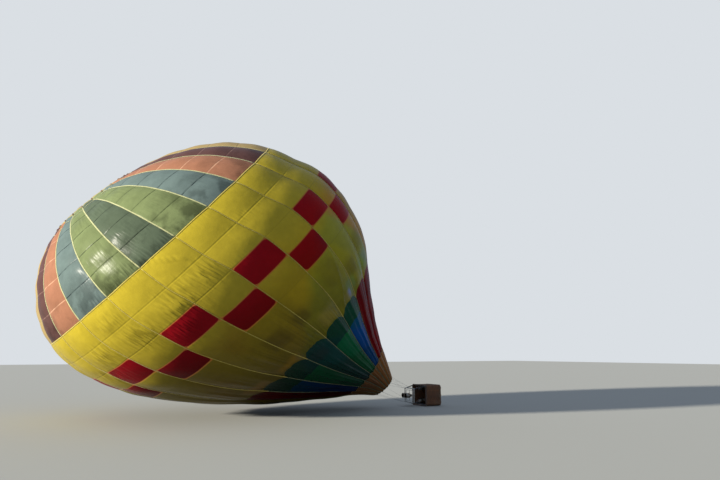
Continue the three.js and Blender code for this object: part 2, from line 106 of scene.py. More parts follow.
class Nodes:
    """Node tree of a material or of the world, with one way to add a node."""

    def __init__(self, owner: bpy.types.Material | bpy.types.World) -> None:
        """Empties the tree.

        Args:
            owner: the material or world that has the tree.
        """
        self.owner = owner
        owner.use_nodes = True
        self.tree = owner.node_tree
        self.tree.nodes.clear()

    def add(self, kind: str, inputs: dict | tuple = (), **settings: object) -> bpy.types.Node:
        """Adds one node with its settings and links.

        Args:
            kind: Blender's name for the node, after "ShaderNode".
            inputs: what feeds it, in the order of its inputs or by their names or numbers. A node gives its first
                output.
            **settings: attributes of the node.

        Returns:
            The new node.
        """
        node = self.tree.nodes.new(f"ShaderNode{kind}")
        for key, value in settings.items():
            setattr(node, key, value)
        for key, value in inputs.items() if isinstance(inputs, dict) else enumerate(inputs):
            if isinstance(value, bpy.types.Node):
                value = value.outputs[0]
            if isinstance(value, bpy.types.NodeSocket):
                self.tree.links.new(value, node.inputs[key])
            else:
                node.inputs[key].default_value = value
        return node

    def vary(self, pattern: object, amount: float, middle: object = 1.0) -> bpy.types.Node:
        """Lets a pattern of 0 to 1 swing a value: middle + amount (pattern - 0.5)."""
        centred = self.add("Math", (pattern, 0.5), operation="SUBTRACT")
        return self.add("Math", (centred, amount, middle), operation="MULTIPLY_ADD")

    def less(self, value: object, share: object) -> bpy.types.Node:
        """Takes a share of 0 to 1 away: value (1 - share)."""
        rest = self.add("Math", (1.0, share), operation="SUBTRACT")
        return self.add("Math", (value, rest), operation="MULTIPLY")

    def dim(self, colour: object, shade: object) -> bpy.types.NodeSocket:
        """Multiplies a colour by a grey value."""
        grey = self.add("CombineColor", (shade, shade, shade))
        return self.add("Mix", {0: 1.0, 6: colour, 7: grey}, data_type="RGBA", blend_type="MULTIPLY").outputs[2]

    def finish(self, shader: bpy.types.Node) -> bpy.types.Material:
        """Links the last shader to the output and gives the finished material."""
        self.add("OutputMaterial", {"Surface": shader})
        return self.owner


@dataclass(frozen=True)
class Cloth:
    """Coated ripstop nylon: thin, a little glossy, and lit through from behind."""

    name: str
    colour: str
    through: str
    seam_line: str = "23261c"
    seam_share: float = 0.10          # how dark the seam between two strips shows
    shadow_mottle: float = 0.0               # how strong the painted shade near the end of the cap is
    see_through: float = 0.12
    gloss: float = 0.10

    def build(self) -> bpy.types.Material:
        """Makes the cloth's material from its panel seams, puckers and uneven weave.

        Returns:
            The material.
        """
        n = Nodes(bpy.data.materials.new(self.name))
        seam, trim, pucker, darkening, along, across = (
            n.add("Attribute", attribute_name=name).outputs["Fac"]
            for name in ("seam", "trim", "pucker", "darkening", "along", "across"))
        tint = n.add("Attribute", attribute_name="tint").outputs["Color"]
        place = n.add("TexCoord").outputs["Object"]
        # Uneven ageing of the coating, in patches of about 1.5 m and 0.3 m
        broad, fine = (n.add("TexNoise", {"Vector": place, "Scale": per_metre(size), "Detail": detail})
                       for size, detail in ((1538.5, 3.0), (333.3, 4.0)))
        shade = n.vary(fine, 0.30, n.vary(broad, 0.30))
        # Painted shade on the underside and the lower side, and soot with painted shade towards the mouth, darken the
        # cloth
        shade = n.less(shade, darkening)
        if self.shadow_mottle:
            # Painted shade: blotches of about 0.8 m that grow towards the end of the cap, and a darker band where the
            # cloth dips to the seam at its end
            blot = n.add("TexNoise", {"Vector": place, "Scale": per_metre(769.2), "Detail": 4.0})
            shadow_patch = n.add("Math", (n.add("MapRange", (blot, 0.44, 0.60, 0.0, 1.0)),
                                   n.add("MapRange", (along, 7.6, 10.0, 0.22, 1.0))), operation="MULTIPLY")
            edge = n.add("Math", (n.add("MapRange", (along, 9.55, 10.0, 0.0, 0.75)), broad), operation="MULTIPLY")
            shadow_patch = n.add("Math", (shadow_patch, edge), operation="MAXIMUM")
            shade = n.less(shade, n.add("Math", (shadow_patch, self.shadow_mottle), operation="MULTIPLY"))
        # The lapped seam between two strips is a double layer, so it shows as a darker line. On the salmon cloth the
        # line is pale, a painted highlight
        line = n.add("Math", (n.add("MapRange", (seam, 0.014, 0.040, 1.0, 0.0)), self.seam_share),
                     operation="MULTIPLY")
        line = n.add("Math", (line, n.add("MapRange", (fine, 0.40, 0.60, 0.35, 1.0))), operation="MULTIPLY")
        # Puckers stand across a seam, about 122 mm apart. Nearer the mouth they are long and run with the gore
        waves = []
        for length, far in ((869.6, 0.0), (5000.0, 7.0)):
            spot = n.add("CombineXYZ", (n.add("Math", (across, per_metre(121.95)), operation="MULTIPLY"),
                                        n.add("Math", (along, per_metre(length)), operation="MULTIPLY"), far))
            waves.append(n.add("TexNoise", {"Vector": spot, "Scale": 1.0, "Detail": 0.5}))
        change = n.add("Math", (waves[1], waves[0]), operation="SUBTRACT")
        raw = n.add("Math", (change, n.add("MapRange", (along, 15.4, 16.4, 0.0, 1.0)), waves[0]),
                    operation="MULTIPLY_ADD")
        ripple = n.add("MapRange", (raw, 0.36, 0.62, 0.0, 0.16))
        # Painted shade darkens the hollows between the puckers
        hollow_shade = n.add("Math", (0.30, n.add("Math", (ripple, 2.1), operation="MULTIPLY")), operation="SUBTRACT")
        shade = n.less(shade, n.add("Math", (pucker, hollow_shade), operation="MULTIPLY"))
        near = n.add("Math", (n.add("MapRange", (seam, 0.0, 0.50, 0.22, 0.03)),
                              n.add("MapRange", (broad, 0.40, 0.62, 0.1, 1.0))), operation="MULTIPLY")
        height = n.add("Math", (ripple, n.add("Math", (near, pucker), operation="MAXIMUM")), operation="MULTIPLY")
        crease = n.add("TexNoise", {"Vector": place, "Scale": per_metre(416.7), "Detail": 5.0})
        height = n.add("Math", (crease, 0.045, height), operation="MULTIPLY_ADD")
        groove = n.add("MapRange", (seam, 0.0, 0.07, 0.035, 0.0))
        height = n.add("Math", (height, groove), operation="SUBTRACT")
        bump = n.add("Bump", {"Height": height, "Strength": 0.8, "Distance": 0.26})
        # The red panels have a stitched edge that shows orange
        outline = n.add("MapRange", (trim, 0.018, 0.045, 1.0, 0.0))
        base, glow = (
            n.add("Mix", {0: n.add("Math", (outline, strength), operation="MULTIPLY"), 7: srgb(edging),
                          6: n.add("Mix", {0: line, 6: n.dim(srgb(colour), shade), 7: srgb(self.seam_line)},
                                   data_type="RGBA").outputs[2]}, data_type="RGBA").outputs[2]
            for colour, strength, edging in ((self.colour, 0.8, "b8793c"), (self.through, 0.7, "a04a20")))
        # Painted light: the colour of sunlight that came through the far side, with the light and shade thrown from
        # there, tints the cloth's colour and its glow
        tinted, glow = (n.add("Mix", {0: 1.0, 6: colour, 7: tint}, data_type="RGBA", blend_type="MULTIPLY").outputs[2]
                        for colour in (base, glow))
        base = n.add("Mix", {0: 0.55, 6: base, 7: tinted}, data_type="RGBA").outputs[2]
        front = n.add("BsdfPrincipled", {"Base Color": base, "Roughness": 0.27, "IOR": 1.45,
                                         "Specular IOR Level": self.gloss, "Normal": bump})
        back = n.add("BsdfTranslucent", {"Color": glow, "Normal": bump})
        return n.finish(n.add("MixShader", (self.see_through, front, back)))


class Hue(Enum):
    """The cloth colours of the envelope."""

    YELLOW = Cloth("cloth_yellow", "b3a130", "d8c828", "6f6518", 0.22)
    RED = Cloth("cloth_red", "92101c", "b81822", "4a0c12", 0.3, gloss=0.04)
    BROWN = Cloth("cloth_brown", "573d3b", "8a5250", "9a7a70", 0.4, 0.45, gloss=0.045)
    SALMON = Cloth("cloth_salmon", "966953", "f0a078", "dcb498", 0.5, 0.35, gloss=0.045)
    SLATE = Cloth("cloth_slate", "60706f", "8fb0b4", "1c262a", 0.9, 0.5, gloss=0.045)
    GREEN = Cloth("cloth_green", "6e7a54", "b4cc68", "26301c", 0.9, 0.62, gloss=0.045)
    DARK_GREEN = Cloth("cloth_dark_green", "505c4c", "84a070", "171d16", 0.9, 0.6, gloss=0.045)
    TEAL = Cloth("cloth_teal", "12665f", "1c4a44", "0c1816", 0.5)
    SEA = Cloth("cloth_sea", "0a5e56", "126058", "0c1816", 0.4)
    EMERALD = Cloth("cloth_emerald", "03925a", "12803c", "06301c", 0.4)
    BLUE = Cloth("cloth_blue", "0668c8", "1a60b0", "081c38", 0.4, gloss=0.06)
    PALE = Cloth("cloth_pale", "989070", "e0d898", "6a6648", 0.3)
    CREAM = Cloth("cloth_cream", "9f8b5c", "e0c890", "6a6048", 0.3, gloss=0.045)
    TAN = Cloth("cloth_tan", "a88040", "a87030", "3a2812", 0.4, 0.0, 0.15)


CAP_HUES = [Hue.BROWN, Hue.SALMON, Hue.SLATE, Hue.GREEN, Hue.DARK_GREEN, Hue.GREEN, Hue.SLATE, Hue.SALMON,
            Hue.BROWN, Hue.CREAM, Hue.CREAM, Hue.CREAM]
PETAL_HUES = [Hue.RED, Hue.RED, Hue.BLUE, Hue.EMERALD, Hue.TEAL, Hue.EMERALD, Hue.BLUE, Hue.RED,
              Hue.YELLOW, Hue.YELLOW, Hue.YELLOW, Hue.RED]
PETAL_TIPS = {Hue.BLUE: Hue.SEA, Hue.EMERALD: Hue.SEA}


@dataclass(frozen=True)
class Metal:
    """Metal or paint with fine streaks, smudges and, where asked, heat tint."""

    name: str
    colour: str
    roughness: float
    metallic: float = 1.0             # 0 for paint
    grain: float = 4.17               # width of a streak in millimetres, coarser than real brushing so that it shows
    heat: str | None = None           # colour of the heat tint, if any

    def build(self) -> bpy.types.Material:
        """Makes the material from its streaks, smudges and heat tint.

        Returns:
            The material.
        """
        n = Nodes(bpy.data.materials.new(self.name))
        place = n.add("TexCoord").outputs["Object"]
        stretched = n.add("Mapping", {"Vector": place, "Scale": (0.15, 1.0, 1.0)})
        scratch = n.add("TexNoise", {"Vector": stretched, "Scale": per_metre(self.grain), "Detail": 3.0})
        smudge = n.add("TexNoise", {"Vector": place, "Scale": per_metre(111.0), "Detail": 4.0})
        base = n.dim(srgb(self.colour), n.vary(smudge, 0.5))
        if self.heat:
            cloud = n.add("TexNoise", {"Vector": place, "Scale": per_metre(200.0), "Detail": 2.0})
            base = n.add("Mix", {0: n.add("MapRange", (cloud, 0.42, 0.60, 0.0, 0.75)), 6: base, 7: srgb(self.heat)},
                         data_type="RGBA").outputs[2]
        rough = n.vary(smudge, 0.25, n.vary(scratch, 0.35, self.roughness))
        bump = n.add("Bump", {"Height": scratch, "Strength": 0.5, "Distance": 0.0006})
        return n.finish(n.add("BsdfPrincipled", {"Base Color": base, "Metallic": self.metallic, "Roughness": rough,
                                                 "Normal": bump}))


@dataclass(frozen=True)
class Fabric:
    """Webbing, padding, suede or canvas with a crossed weave and rubbed patches."""

    name: str
    colour: str
    worn: str                         # colour where it is worn or dirty
    thread: float                     # spacing of threads or nap in millimetres, about twice the real one to show
    roughness: float = 0.8
    sheen: float = 0.2

    def build(self) -> bpy.types.Material:
        """Makes the material from its threads, worn patches and grime.

        Returns:
            The material.
        """
        n = Nodes(bpy.data.materials.new(self.name))
        place = n.add("TexCoord").outputs["Object"]
        waves = [n.add("TexWave", {"Vector": place, "Scale": WAVE_BAND * per_metre(self.thread), "Distortion": 1.2,
                                   "Detail": 1.0}, bands_direction=way).outputs[1] for way in "XYZ"]
        threads = n.add("Math", (waves[1], waves[2]), operation="ADD")
        threads = n.add("Math", (waves[0], threads), operation="ADD")
        threads = n.add("Math", (threads, 0.33), operation="MULTIPLY")
        worn, darkening = (n.add("TexNoise", {"Vector": place, "Scale": per_metre(size), "Detail": detail})
                       for size, detail in ((143.0, 4.0), (26.3, 3.0)))
        base = n.add("Mix", {0: n.add("MapRange", (worn, 0.42, 0.66, 0.0, 0.8)), 6: srgb(self.colour),
                             7: srgb(self.worn)}, data_type="RGBA").outputs[2]
        base = n.dim(base, n.vary(darkening, 0.7))
        base = n.dim(base, n.add("MapRange", (threads, 0.2, 0.8, 0.82, 1.08)))
        height = n.add("Math", (darkening, 0.7, threads), operation="MULTIPLY_ADD")
        bump = n.add("Bump", {"Height": height, "Strength": 1.0, "Distance": 0.0015})
        return n.finish(n.add("BsdfPrincipled", {"Base Color": base, "Roughness": self.roughness,
                                                 "Sheen Weight": self.sheen, "Normal": bump}))


@dataclass(frozen=True)
class Wicker:
    """Willow and cane: each rod has its own tone, with fine grain along it."""

    name: str
    dark: str
    light: str
    weathered: str

    def build(self) -> bpy.types.Material:
        """Makes the material from the rods' tones, their grain, the weather's marks and painted shade in the gaps.

        Returns:
            The material.
        """
        n = Nodes(bpy.data.materials.new(self.name))
        place = n.add("TexCoord").outputs["Object"]
        tone, deep = (n.add("Attribute", attribute_name=key).outputs["Fac"] for key in ("tone", "deep"))
        # The grain of cane is under 1 mm, and is drawn at about 6 mm so that it shows
        grain, weather = (n.add("TexNoise", {"Vector": place, "Scale": per_metre(size), "Detail": detail})
                          for size, detail in ((6.25, 3.0), (333.3, 4.0)))
        base = n.add("Mix", {0: tone, 6: srgb(self.dark), 7: srgb(self.light)}, data_type="RGBA").outputs[2]
        base = n.add("Mix", {0: n.add("MapRange", (weather, 0.45, 0.65, 0.0, 0.5)), 6: base, 7: srgb(self.weathered)},
                     data_type="RGBA").outputs[2]
        base = n.dim(base, n.vary(grain, 0.8))
        # Painted shade darkens the gaps between the rods
        base = n.dim(base, n.add("MapRange", (deep, 0.0, 1.0, 1.0, 0.30)))
        bump = n.add("Bump", {"Height": grain, "Strength": 0.8, "Distance": 0.001})
        return n.finish(n.add("BsdfPrincipled", {"Base Color": base, "Roughness": 0.6, "Normal": bump}))


@dataclass(frozen=True)
class Timber:
    """Varnished wood with grain along the longer sides and scuffs."""

    name: str
    dark: str
    light: str
    scuffed: str

    def build(self) -> bpy.types.Material:
        """Makes the material from its rings and scuffs.

        Returns:
            The material.
        """
        n = Nodes(bpy.data.materials.new(self.name))
        place = n.add("TexCoord").outputs["Object"]
        long_way = n.add("Mapping", {"Vector": place, "Scale": (1.0, 0.06, 1.0)})
        # Growth rings are 2 to 5 mm apart, and are drawn at 28.6 mm so that they show
        rings = n.add("TexWave", {"Vector": long_way, "Scale": WAVE_BAND * per_metre(28.56), "Distortion": 7.0,
                                  "Detail": 3.0}, bands_direction="Z").outputs[1]
        scuff = n.add("TexNoise", {"Vector": place, "Scale": per_metre(71.4), "Detail": 5.0})
        base = n.add("Mix", {0: rings, 6: srgb(self.dark), 7: srgb(self.light)}, data_type="RGBA").outputs[2]
        base = n.add("Mix", {0: n.add("MapRange", (scuff, 0.52, 0.66, 0.0, 0.7)), 6: base, 7: srgb(self.scuffed)},
                     data_type="RGBA").outputs[2]
        rough = n.add("MapRange", (scuff, 0.4, 0.65, 0.38, 0.8))
        bump = n.add("Bump", {"Height": rings, "Strength": 0.6, "Distance": 0.001})
        return n.finish(n.add("BsdfPrincipled", {"Base Color": base, "Roughness": rough, "Normal": bump}))


FINISHES = {finish.name: finish for finish in (
    # Brushed stainless tube: bright, with soft streaks. The cans and coils are browned and blued by heat
    Metal("steel", "a9aaa8", 0.32),
    Metal("dark_steel", "3a3c40", 0.42),
    Metal("can_steel", "a4a29c", 0.30, heat="7a5c38"),
    Metal("coil_steel", "9a9488", 0.28, heat="5a4a6a"),
    # Brushed aluminium and turned brass: paler and yellower than the steel
    Metal("aluminium", "bdbdb9", 0.38, grain=6.67),
    Metal("brass", "b08a3e", 0.30),
    # Enamel grips and wheels shine a little, and moulded rubber is dull
    Metal("red_paint", "a01c18", 0.35, metallic=0.0),
    Metal("black_rubber", "161617", 0.62, metallic=0.0),
    # Stranded stainless wire, whose fine grain breaks up its highlight
    Metal("wire", "8d8e8e", 0.38, grain=1.85),
    # Woven polyester tape: dull, in the tones of the cloth beside it
    Fabric("webbing", "a3a678", "878a60", 2.19),
    Fabric("webbing_yellow", "aa9a36", "94862e", 2.19),
    Fabric("webbing_dark", "4c5a40", "6c6a3c", 2.19),
    Fabric("strap", "2a2c30", "45464a", 2.19),
    # Padded canvas, suede, hide and waxed thread, worn paler where they are rubbed
    Fabric("cover", "23262c", "3c4048", 2.82, 0.85, 0.3),
    Fabric("suede", "4a3226", "6a4c38", 3.95, 0.95, 0.5),
    Fabric("hide", "5a3c26", "7c5a3c", 6.58, 0.6, 0.1),
    Fabric("thread", "b9a888", "8c7c60", 2.19),
    # Split willow and cane browned by handling, and varnished plywood and ash scuffed by boots
    Wicker("wicker_cane", "4a2a18", "8a5a34", "6f5842"),
    Timber("timber", "5e4022", "96703f", "6d6252"),
)}


class Finishes:
    """Makes each material once, when a piece first asks for it."""

    def __init__(self) -> None:
        """Starts with nothing made."""
        self.made: dict[str, bpy.types.Material] = {}

    def __getitem__(self, name: str) -> bpy.types.Material:
        """Gives a material, made on first use.

        Args:
            name: a name in FINISHES.

        Returns:
            The material.
        """
        if name not in self.made:
            self.made[name] = FINISHES[name].build()
        return self.made[name]


def laid(points: Array) -> Array:
    """Lays the basket's own frame on its side: z runs from the runners to the rim, x is upward as it lies."""
    return np.stack([BASKET_BASE - points[:, 2], points[:, 1], points[:, 0] + BASKET_AXIS], 1)


class Parts:
    """Points and faces of the simple forms that make up one piece."""

    def __init__(self, place: Callable[[Array], Array] | None = None) -> None:
        """Starts empty.

        Args:
            place: moves the points into the model's frame.
        """
        self.place = place
        self.points: list[Array] = []
        self.faces: list[tuple[Array, int, bool]] = []
        self.numbers: dict[str, list[Array]] = {}
        self.count = 0

    def add(self, form: Form, slot: int = 0, smooth: bool = True, **numbers: Array) -> "Parts":
        """Adds a form.

        Args:
            form: its points and its face arrays.
            slot: which of the piece's materials it has.
            smooth: whether it is shaded smooth.
            **numbers: values at its points.

        Returns:
            Itself.
        """
        points, faces = form
        for array in faces:
            if len(array):
                self.faces.append((np.asarray(array) + self.count, slot, smooth))
        self.points.append(np.asarray(points, float))
        for key, values in numbers.items():
            self.numbers.setdefault(key, []).append(np.broadcast_to(np.asarray(values, float).ravel(), len(points)))
        self.count += len(points)
        return self

    def build(self, name: str, materials: list[bpy.types.Material], body: str, nodes: tuple[str, ...] = ()
              ) -> bpy.types.Object:
        """Makes the object, lets it ride on a body and replaces the model's nodes.

        Args:
            name: the piece's name.
            materials: one for each slot.
            body: the body that it moves with.
            nodes: the model's nodes that it replaces.

        Returns:
            The new object.
        """
        mesh = bpy.data.meshes.new(name)
        points = np.concatenate(self.points)
        if self.place:
            points = self.place(points)
        sizes = np.concatenate([np.full(len(f), f.shape[1]) for f, _, _ in self.faces])
        corners = np.concatenate([f.ravel() for f, _, _ in self.faces])
        mesh.vertices.add(len(points))
        mesh.vertices.foreach_set("co", points.astype(np.float32).ravel())
        mesh.loops.add(len(corners))
        mesh.loops.foreach_set("vertex_index", corners.astype(np.int32))
        mesh.polygons.add(len(sizes))
        mesh.polygons.foreach_set("loop_start", np.append(0, np.cumsum(sizes)[:-1]).astype(np.int32))
        for material in materials:
            mesh.materials.append(material)
        mesh.polygons.foreach_set("material_index", np.concatenate([np.full(len(f), s) for f, s, _ in self.faces]))
        mesh.polygons.foreach_set("use_smooth", np.concatenate([np.full(len(f), s) for f, _, s in self.faces]))
        mesh.update(calc_edges=True)
        for key, values in self.numbers.items():
            data = np.concatenate(values)
            if len(data) == len(points):
                mesh.attributes.new(key, "FLOAT", "POINT").data.foreach_set("value", data.astype(np.float32))
        mesh.validate()
        piece = bpy.data.objects.new(name, mesh)
        bpy.context.scene.collection.objects.link(piece)
        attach(piece, body)
        if nodes:
            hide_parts(*nodes)
            frame_slot(nodes[0])
        return piece


def frame_slot(node: str) -> str:
    """Material slot that the record gives a node."""
    return next(p["material_slot"] for p in frame["record"]["subparts"] if p["node"] == node)


def turn_angle(turn: Array | float) -> Array | float:
    """Angle round a ring, from +Y, of a place counted in gores from seam 0."""
    return FIRST_SEAM + turn * GORE_ANGLE


def spread(values: Array, ring: Array, column: int) -> Array:
    """Smooth curve through one column of the rings, a cubic between each pair with matched slopes.

    Args:
        values: distances along a gore.
        ring: the rings' table, with the distance in column 0.
        column: the column to read.

    Returns:
        The column's value at each distance.
    """
    x, y = ring[:, 0], ring[:, column]
    step, chord = np.diff(x), np.diff(y) / np.diff(x)
    slope = np.empty_like(y)
    slope[0], slope[-1] = chord[0], chord[-1]
    slope[1:-1] = (chord[:-1] * step[1:] + chord[1:] * step[:-1]) / (step[1:] + step[:-1])
    i = np.clip(np.searchsorted(x, values) - 1, 0, len(x) - 2)
    t = (values - x[i]) / step[i]
    return (y[i] * (2 * t**3 - 3 * t**2 + 1) + slope[i] * step[i] * (t**3 - 2 * t**2 + t)
            + y[i + 1] * (3 * t**2 - 2 * t**3) + slope[i + 1] * step[i] * (t**3 - t**2))


def grid_faces(rows: int, columns: int, wrap: bool = False, start: int = 0) -> Array:
    """Four-cornered faces of a grid of points, numbered row by row.

    Args:
        rows: points down the grid.
        columns: points across it.
        wrap: whether the last column joins the first.
        start: the first point's number.

    Returns:
        Faces, row by row.
    """
    i, k = np.meshgrid(np.arange(rows - 1), np.arange(columns if wrap else columns - 1), indexing="ij")
    i, k, nxt = i.ravel(), k.ravel(), (k.ravel() + 1) % columns
    return start + np.stack([i * columns + k, (i + 1) * columns + k, (i + 1) * columns + nxt, i * columns + nxt], 1)


def closed_faces(rows: int, columns: int) -> Array:
    """Four-cornered faces of a grid that closes on itself both ways.

    Args:
        rows: points round the path.
        columns: points round the section.

    Returns:
        Faces, those from the last row to the first at the end.
    """
    k = np.arange(columns)
    nxt, last = (k + 1) % columns, (rows - 1) * columns
    return np.concatenate([grid_faces(rows, columns, True), np.stack([last + k, k, nxt, last + nxt], 1)])


def shell_form(outer: Array, inner: Array, wrap: bool = False) -> Form:
    """Closed shell between an outer and an inner grid of points of the same size.

    Args:
        outer: rows by columns by 3 points.
        inner: the same grid moved inward.
        wrap: whether the grid closes on itself across.

    Returns:
        The points, and faces in the order front, back, ends, sides.
    """
    rows, columns = outer.shape[:2]
    count = rows * columns
    across = np.arange(columns if wrap else columns - 1)
    nxt = (across + 1) % columns
    last = (rows - 1) * columns
    faces = [grid_faces(rows, columns, wrap)[:, ::-1], grid_faces(rows, columns, wrap, count),
             np.stack([across, across + count, nxt + count, nxt], 1),
             np.stack([last + across, last + nxt, last + nxt + count, last + across + count], 1)]
    if not wrap:
        down = np.arange(rows - 1) * columns
        right = down + columns - 1
        faces += [np.stack([down, down + columns, down + columns + count, down + count], 1),
                  np.stack([right, right + count, right + columns + count, right + columns], 1)]
    return np.concatenate([outer.reshape(-1, 3), inner.reshape(-1, 3)]), faces


def directions(path: Array, closed: bool) -> tuple[Array, Array, Array]:
    """Frames along a path that turn as little as they can.

    Args:
        path: n by 3 points.
        closed: whether the path ends where it starts.

    Returns:
        Tangents, and two directions across them.
    """
    ahead = np.roll(path, -1, 0) - np.roll(path, 1, 0)
    if not closed:
        ahead[0], ahead[-1] = path[1] - path[0], path[-1] - path[-2]
    tangent = ahead / np.linalg.norm(ahead, axis=1, keepdims=True)
    first = np.cross(tangent[0], [0.0, 0.0, 1.0] if abs(tangent[0][2]) < 0.9 else [1.0, 0.0, 0.0])
    side = [first / np.linalg.norm(first)]
    for t in tangent[1:]:
        across = side[-1] - t * (side[-1] @ t)
        side.append(across / np.linalg.norm(across))
    side = np.array(side)
    return tangent, side, np.cross(tangent, side)


def tube(path: Array, radius: Array | float, sides: int = 10, closed: bool = False, strands: int = 0,
         pitch: float = 0.1, flat: float = 1.0) -> Form:
    """Tube along a path, round or twisted like rope.

    Args:
        path: n by 3 points.
        radius: one radius, or one for each point.
        sides: points round it.
        closed: whether the path ends where it starts.
        strands: strands of a rope, or 0 for a smooth tube.
        pitch: length of a rope's turn.
        flat: thickness as a share of the width.

    Returns:
        Points and faces, with flat ends.
    """
    path = np.asarray(path, float)
    _, side, up = directions(path, closed)
    angle = np.linspace(0, 2 * math.pi, sides, endpoint=False)
    size = np.broadcast_to(np.asarray(radius, float), len(path))[:, None] * np.ones(sides)
    if strands:
        run = np.append(0, np.cumsum(np.linalg.norm(np.diff(path, axis=0), axis=1)))[:, None]
        size = size * (0.86 + 0.14 * np.abs(np.cos(0.5 * strands * (angle - 2 * math.pi * run / pitch))))
    points = (path[:, None] + side[:, None] * (size * np.cos(angle))[..., None]
              + up[:, None] * (size * flat * np.sin(angle))[..., None]).reshape(-1, 3)
    if closed:
        return points, [closed_faces(len(path), sides)[:, ::-1]]
    ends = [np.arange(sides)[None], (np.arange(sides)[::-1] + (len(path) - 1) * sides)[None]]
    return points, [f[:, ::-1] for f in (grid_faces(len(path), sides, True), *ends)]


def lathe(profile: list[tuple[float, float]], segments: int = 32, at: tuple[float, float] = (0.0, 0.0),
          rise: float = 0.0) -> Form:
    """Turned form about local z, open profile with flat ends or a closed wall.

    Args:
        profile: radius and height pairs.
        segments: points round it.
        at: x and y of its axis.
        rise: what is added to each height.

    Returns:
        Points and faces.
    """
    radius, height = np.array(profile).T
    height = height + rise
    angle = np.linspace(0, 2 * math.pi, segments, endpoint=False)
    points = np.stack([at[0] + radius[:, None] * np.cos(angle), at[1] + radius[:, None] * np.sin(angle),
                       height[:, None] * np.ones(segments)], -1).reshape(-1, 3)
    faces = [grid_faces(len(profile), segments, True)[:, ::-1]]
    if np.allclose(profile[0], profile[-1]):
        return points, faces
    ring = np.arange(segments)
    return points, [*faces, ring[::-1][None], (ring + (len(profile) - 1) * segments)[None]]


def circle(radius: float, height: float, count: int, at: tuple[float, float] = (0.0, 0.0)) -> Array:
    """Points of a level circle, count by 3."""
    angle = np.linspace(0, 2 * math.pi, count, endpoint=False)
    return np.column_stack([at[0] + radius * np.cos(angle), at[1] + radius * np.sin(angle), np.full(count, height)])


def block(size: tuple[float, float, float], at: tuple[float, float, float], bevel: float) -> Form:
    """Box with bevelled edges and corners.

    Args:
        size: its three sides.
        at: its middle.
        bevel: width of the bevel.

    Returns:
        Points and faces.
    """
    half = np.array(size) / 2
    corners = np.array([[i, j, k] for i in (-1, 1) for j in (-1, 1) for k in (-1, 1)], float)
    points = []
    for axis in range(3):
        inset = np.full(3, bevel)
        inset[axis] = 0
        points.append(corners * (half - inset))
    points = np.concatenate(points) + np.array(at)
    number = {tuple(c): i for i, c in enumerate(corners.astype(int))}

    def at_corner(axis: int, *sign: int) -> int:
        """Number of the point beside a corner that lies on one axis's face."""
        return axis * 8 + number[sign]

    quads, triangles = [], []
    for axis in range(3):
        b, c = (axis + 1) % 3, (axis + 2) % 3
        for s in (-1, 1):
            ring = []
            for u, v in ((-1, -1), (1, -1), (1, 1), (-1, 1)):
                sign = [0, 0, 0]
                sign[axis], sign[b], sign[c] = s, u, v
                ring.append(at_corner(axis, *sign))
            quads.append(ring if s > 0 else ring[::-1])
            for t in (-1, 1):
                ends = []
                for w in (-1, 1):
                    sign = [0, 0, 0]
                    sign[axis], sign[b], sign[c] = s, t, w
                    ends.append((at_corner(axis, *sign), at_corner(b, *sign)))
                ring = [ends[0][0], ends[0][1], ends[1][1], ends[1][0]]
                quads.append(ring if s * t > 0 else ring[::-1])
    for c in corners.astype(int):
        ring = [at_corner(axis, *c) for axis in range(3)]
        triangles.append(ring if c.prod() > 0 else ring[::-1])
    return points, [np.array(quads), np.array(triangles)]


def rounded_rectangle(x: float, y: float, corner: float, step: float = 0.02) -> tuple[Array, Array]:
    """Closed outline of a rounded rectangle in the basket's x and y.

    Args:
        x: its size in x.
        y: its size in y.
        corner: the corners' radius.
        step: distance between points.

    Returns:
        Points and outward directions, n by 2, evenly spaced.
    """
    straight_x, straight_y, arc = x - 2 * corner, y - 2 * corner, corner * math.pi / 2
    total = 2 * (straight_x + straight_y) + 4 * arc
    run = np.linspace(0, total, max(24, round(total / step)), endpoint=False)
    stops = np.cumsum([0, straight_y, arc, straight_x, arc, straight_y, arc, straight_x])
    part = np.searchsorted(stops, run, side="right") - 1
    rest = run - stops[part]
    lines = {0: ((x / 2, -y / 2 + corner), (0, 1), 0.0), 2: ((x / 2 - corner, y / 2), (-1, 0), 90.0),
             4: ((-x / 2, y / 2 - corner), (0, -1), 180.0), 6: ((-x / 2 + corner, -y / 2), (1, 0), 270.0)}
    centres = {1: (x / 2 - corner, y / 2 - corner), 3: (-x / 2 + corner, y / 2 - corner),
               5: (-x / 2 + corner, -y / 2 + corner), 7: (x / 2 - corner, -y / 2 + corner)}
    points, out = np.zeros((len(run), 2)), np.zeros((len(run), 2))
    for k in range(8):
        here = part == k
        if k % 2 == 0:
            start, way, angle = lines[k]
            points[here] = np.array(start) + rest[here, None] * np.array(way)
            out[here] = (math.cos(math.radians(angle)), math.sin(math.radians(angle)))
        else:
            angle = math.radians(90 * (k // 2)) + rest[here] / max(corner, 1e-9)
            out[here] = np.stack([np.cos(angle), np.sin(angle)], 1)
            points[here] = np.array(centres[k]) + corner * out[here]
    return points, out


def band(x: float, y: float, corner: float, section: Array, step: float = 0.02) -> Form:
    """Closed band that follows a rounded rectangle.

    Args:
        x: the outline's size in x.
        y: the outline's size in y.
        corner: the corners' radius.
        section: closed loop of (outward, z) pairs, clockwise seen along the outline.
        step: distance between points.

    Returns:
        Points and faces.
    """
    points, out = rounded_rectangle(x, y, corner, step)
    flat = points[:, None] + out[:, None] * section[None, :, :1]
    rise = np.broadcast_to(section[None, :, 1:], (*flat.shape[:2], 1))
    grid = np.concatenate([flat, rise], 2)
    return grid.reshape(-1, 3), [closed_faces(*grid.shape[:2])]


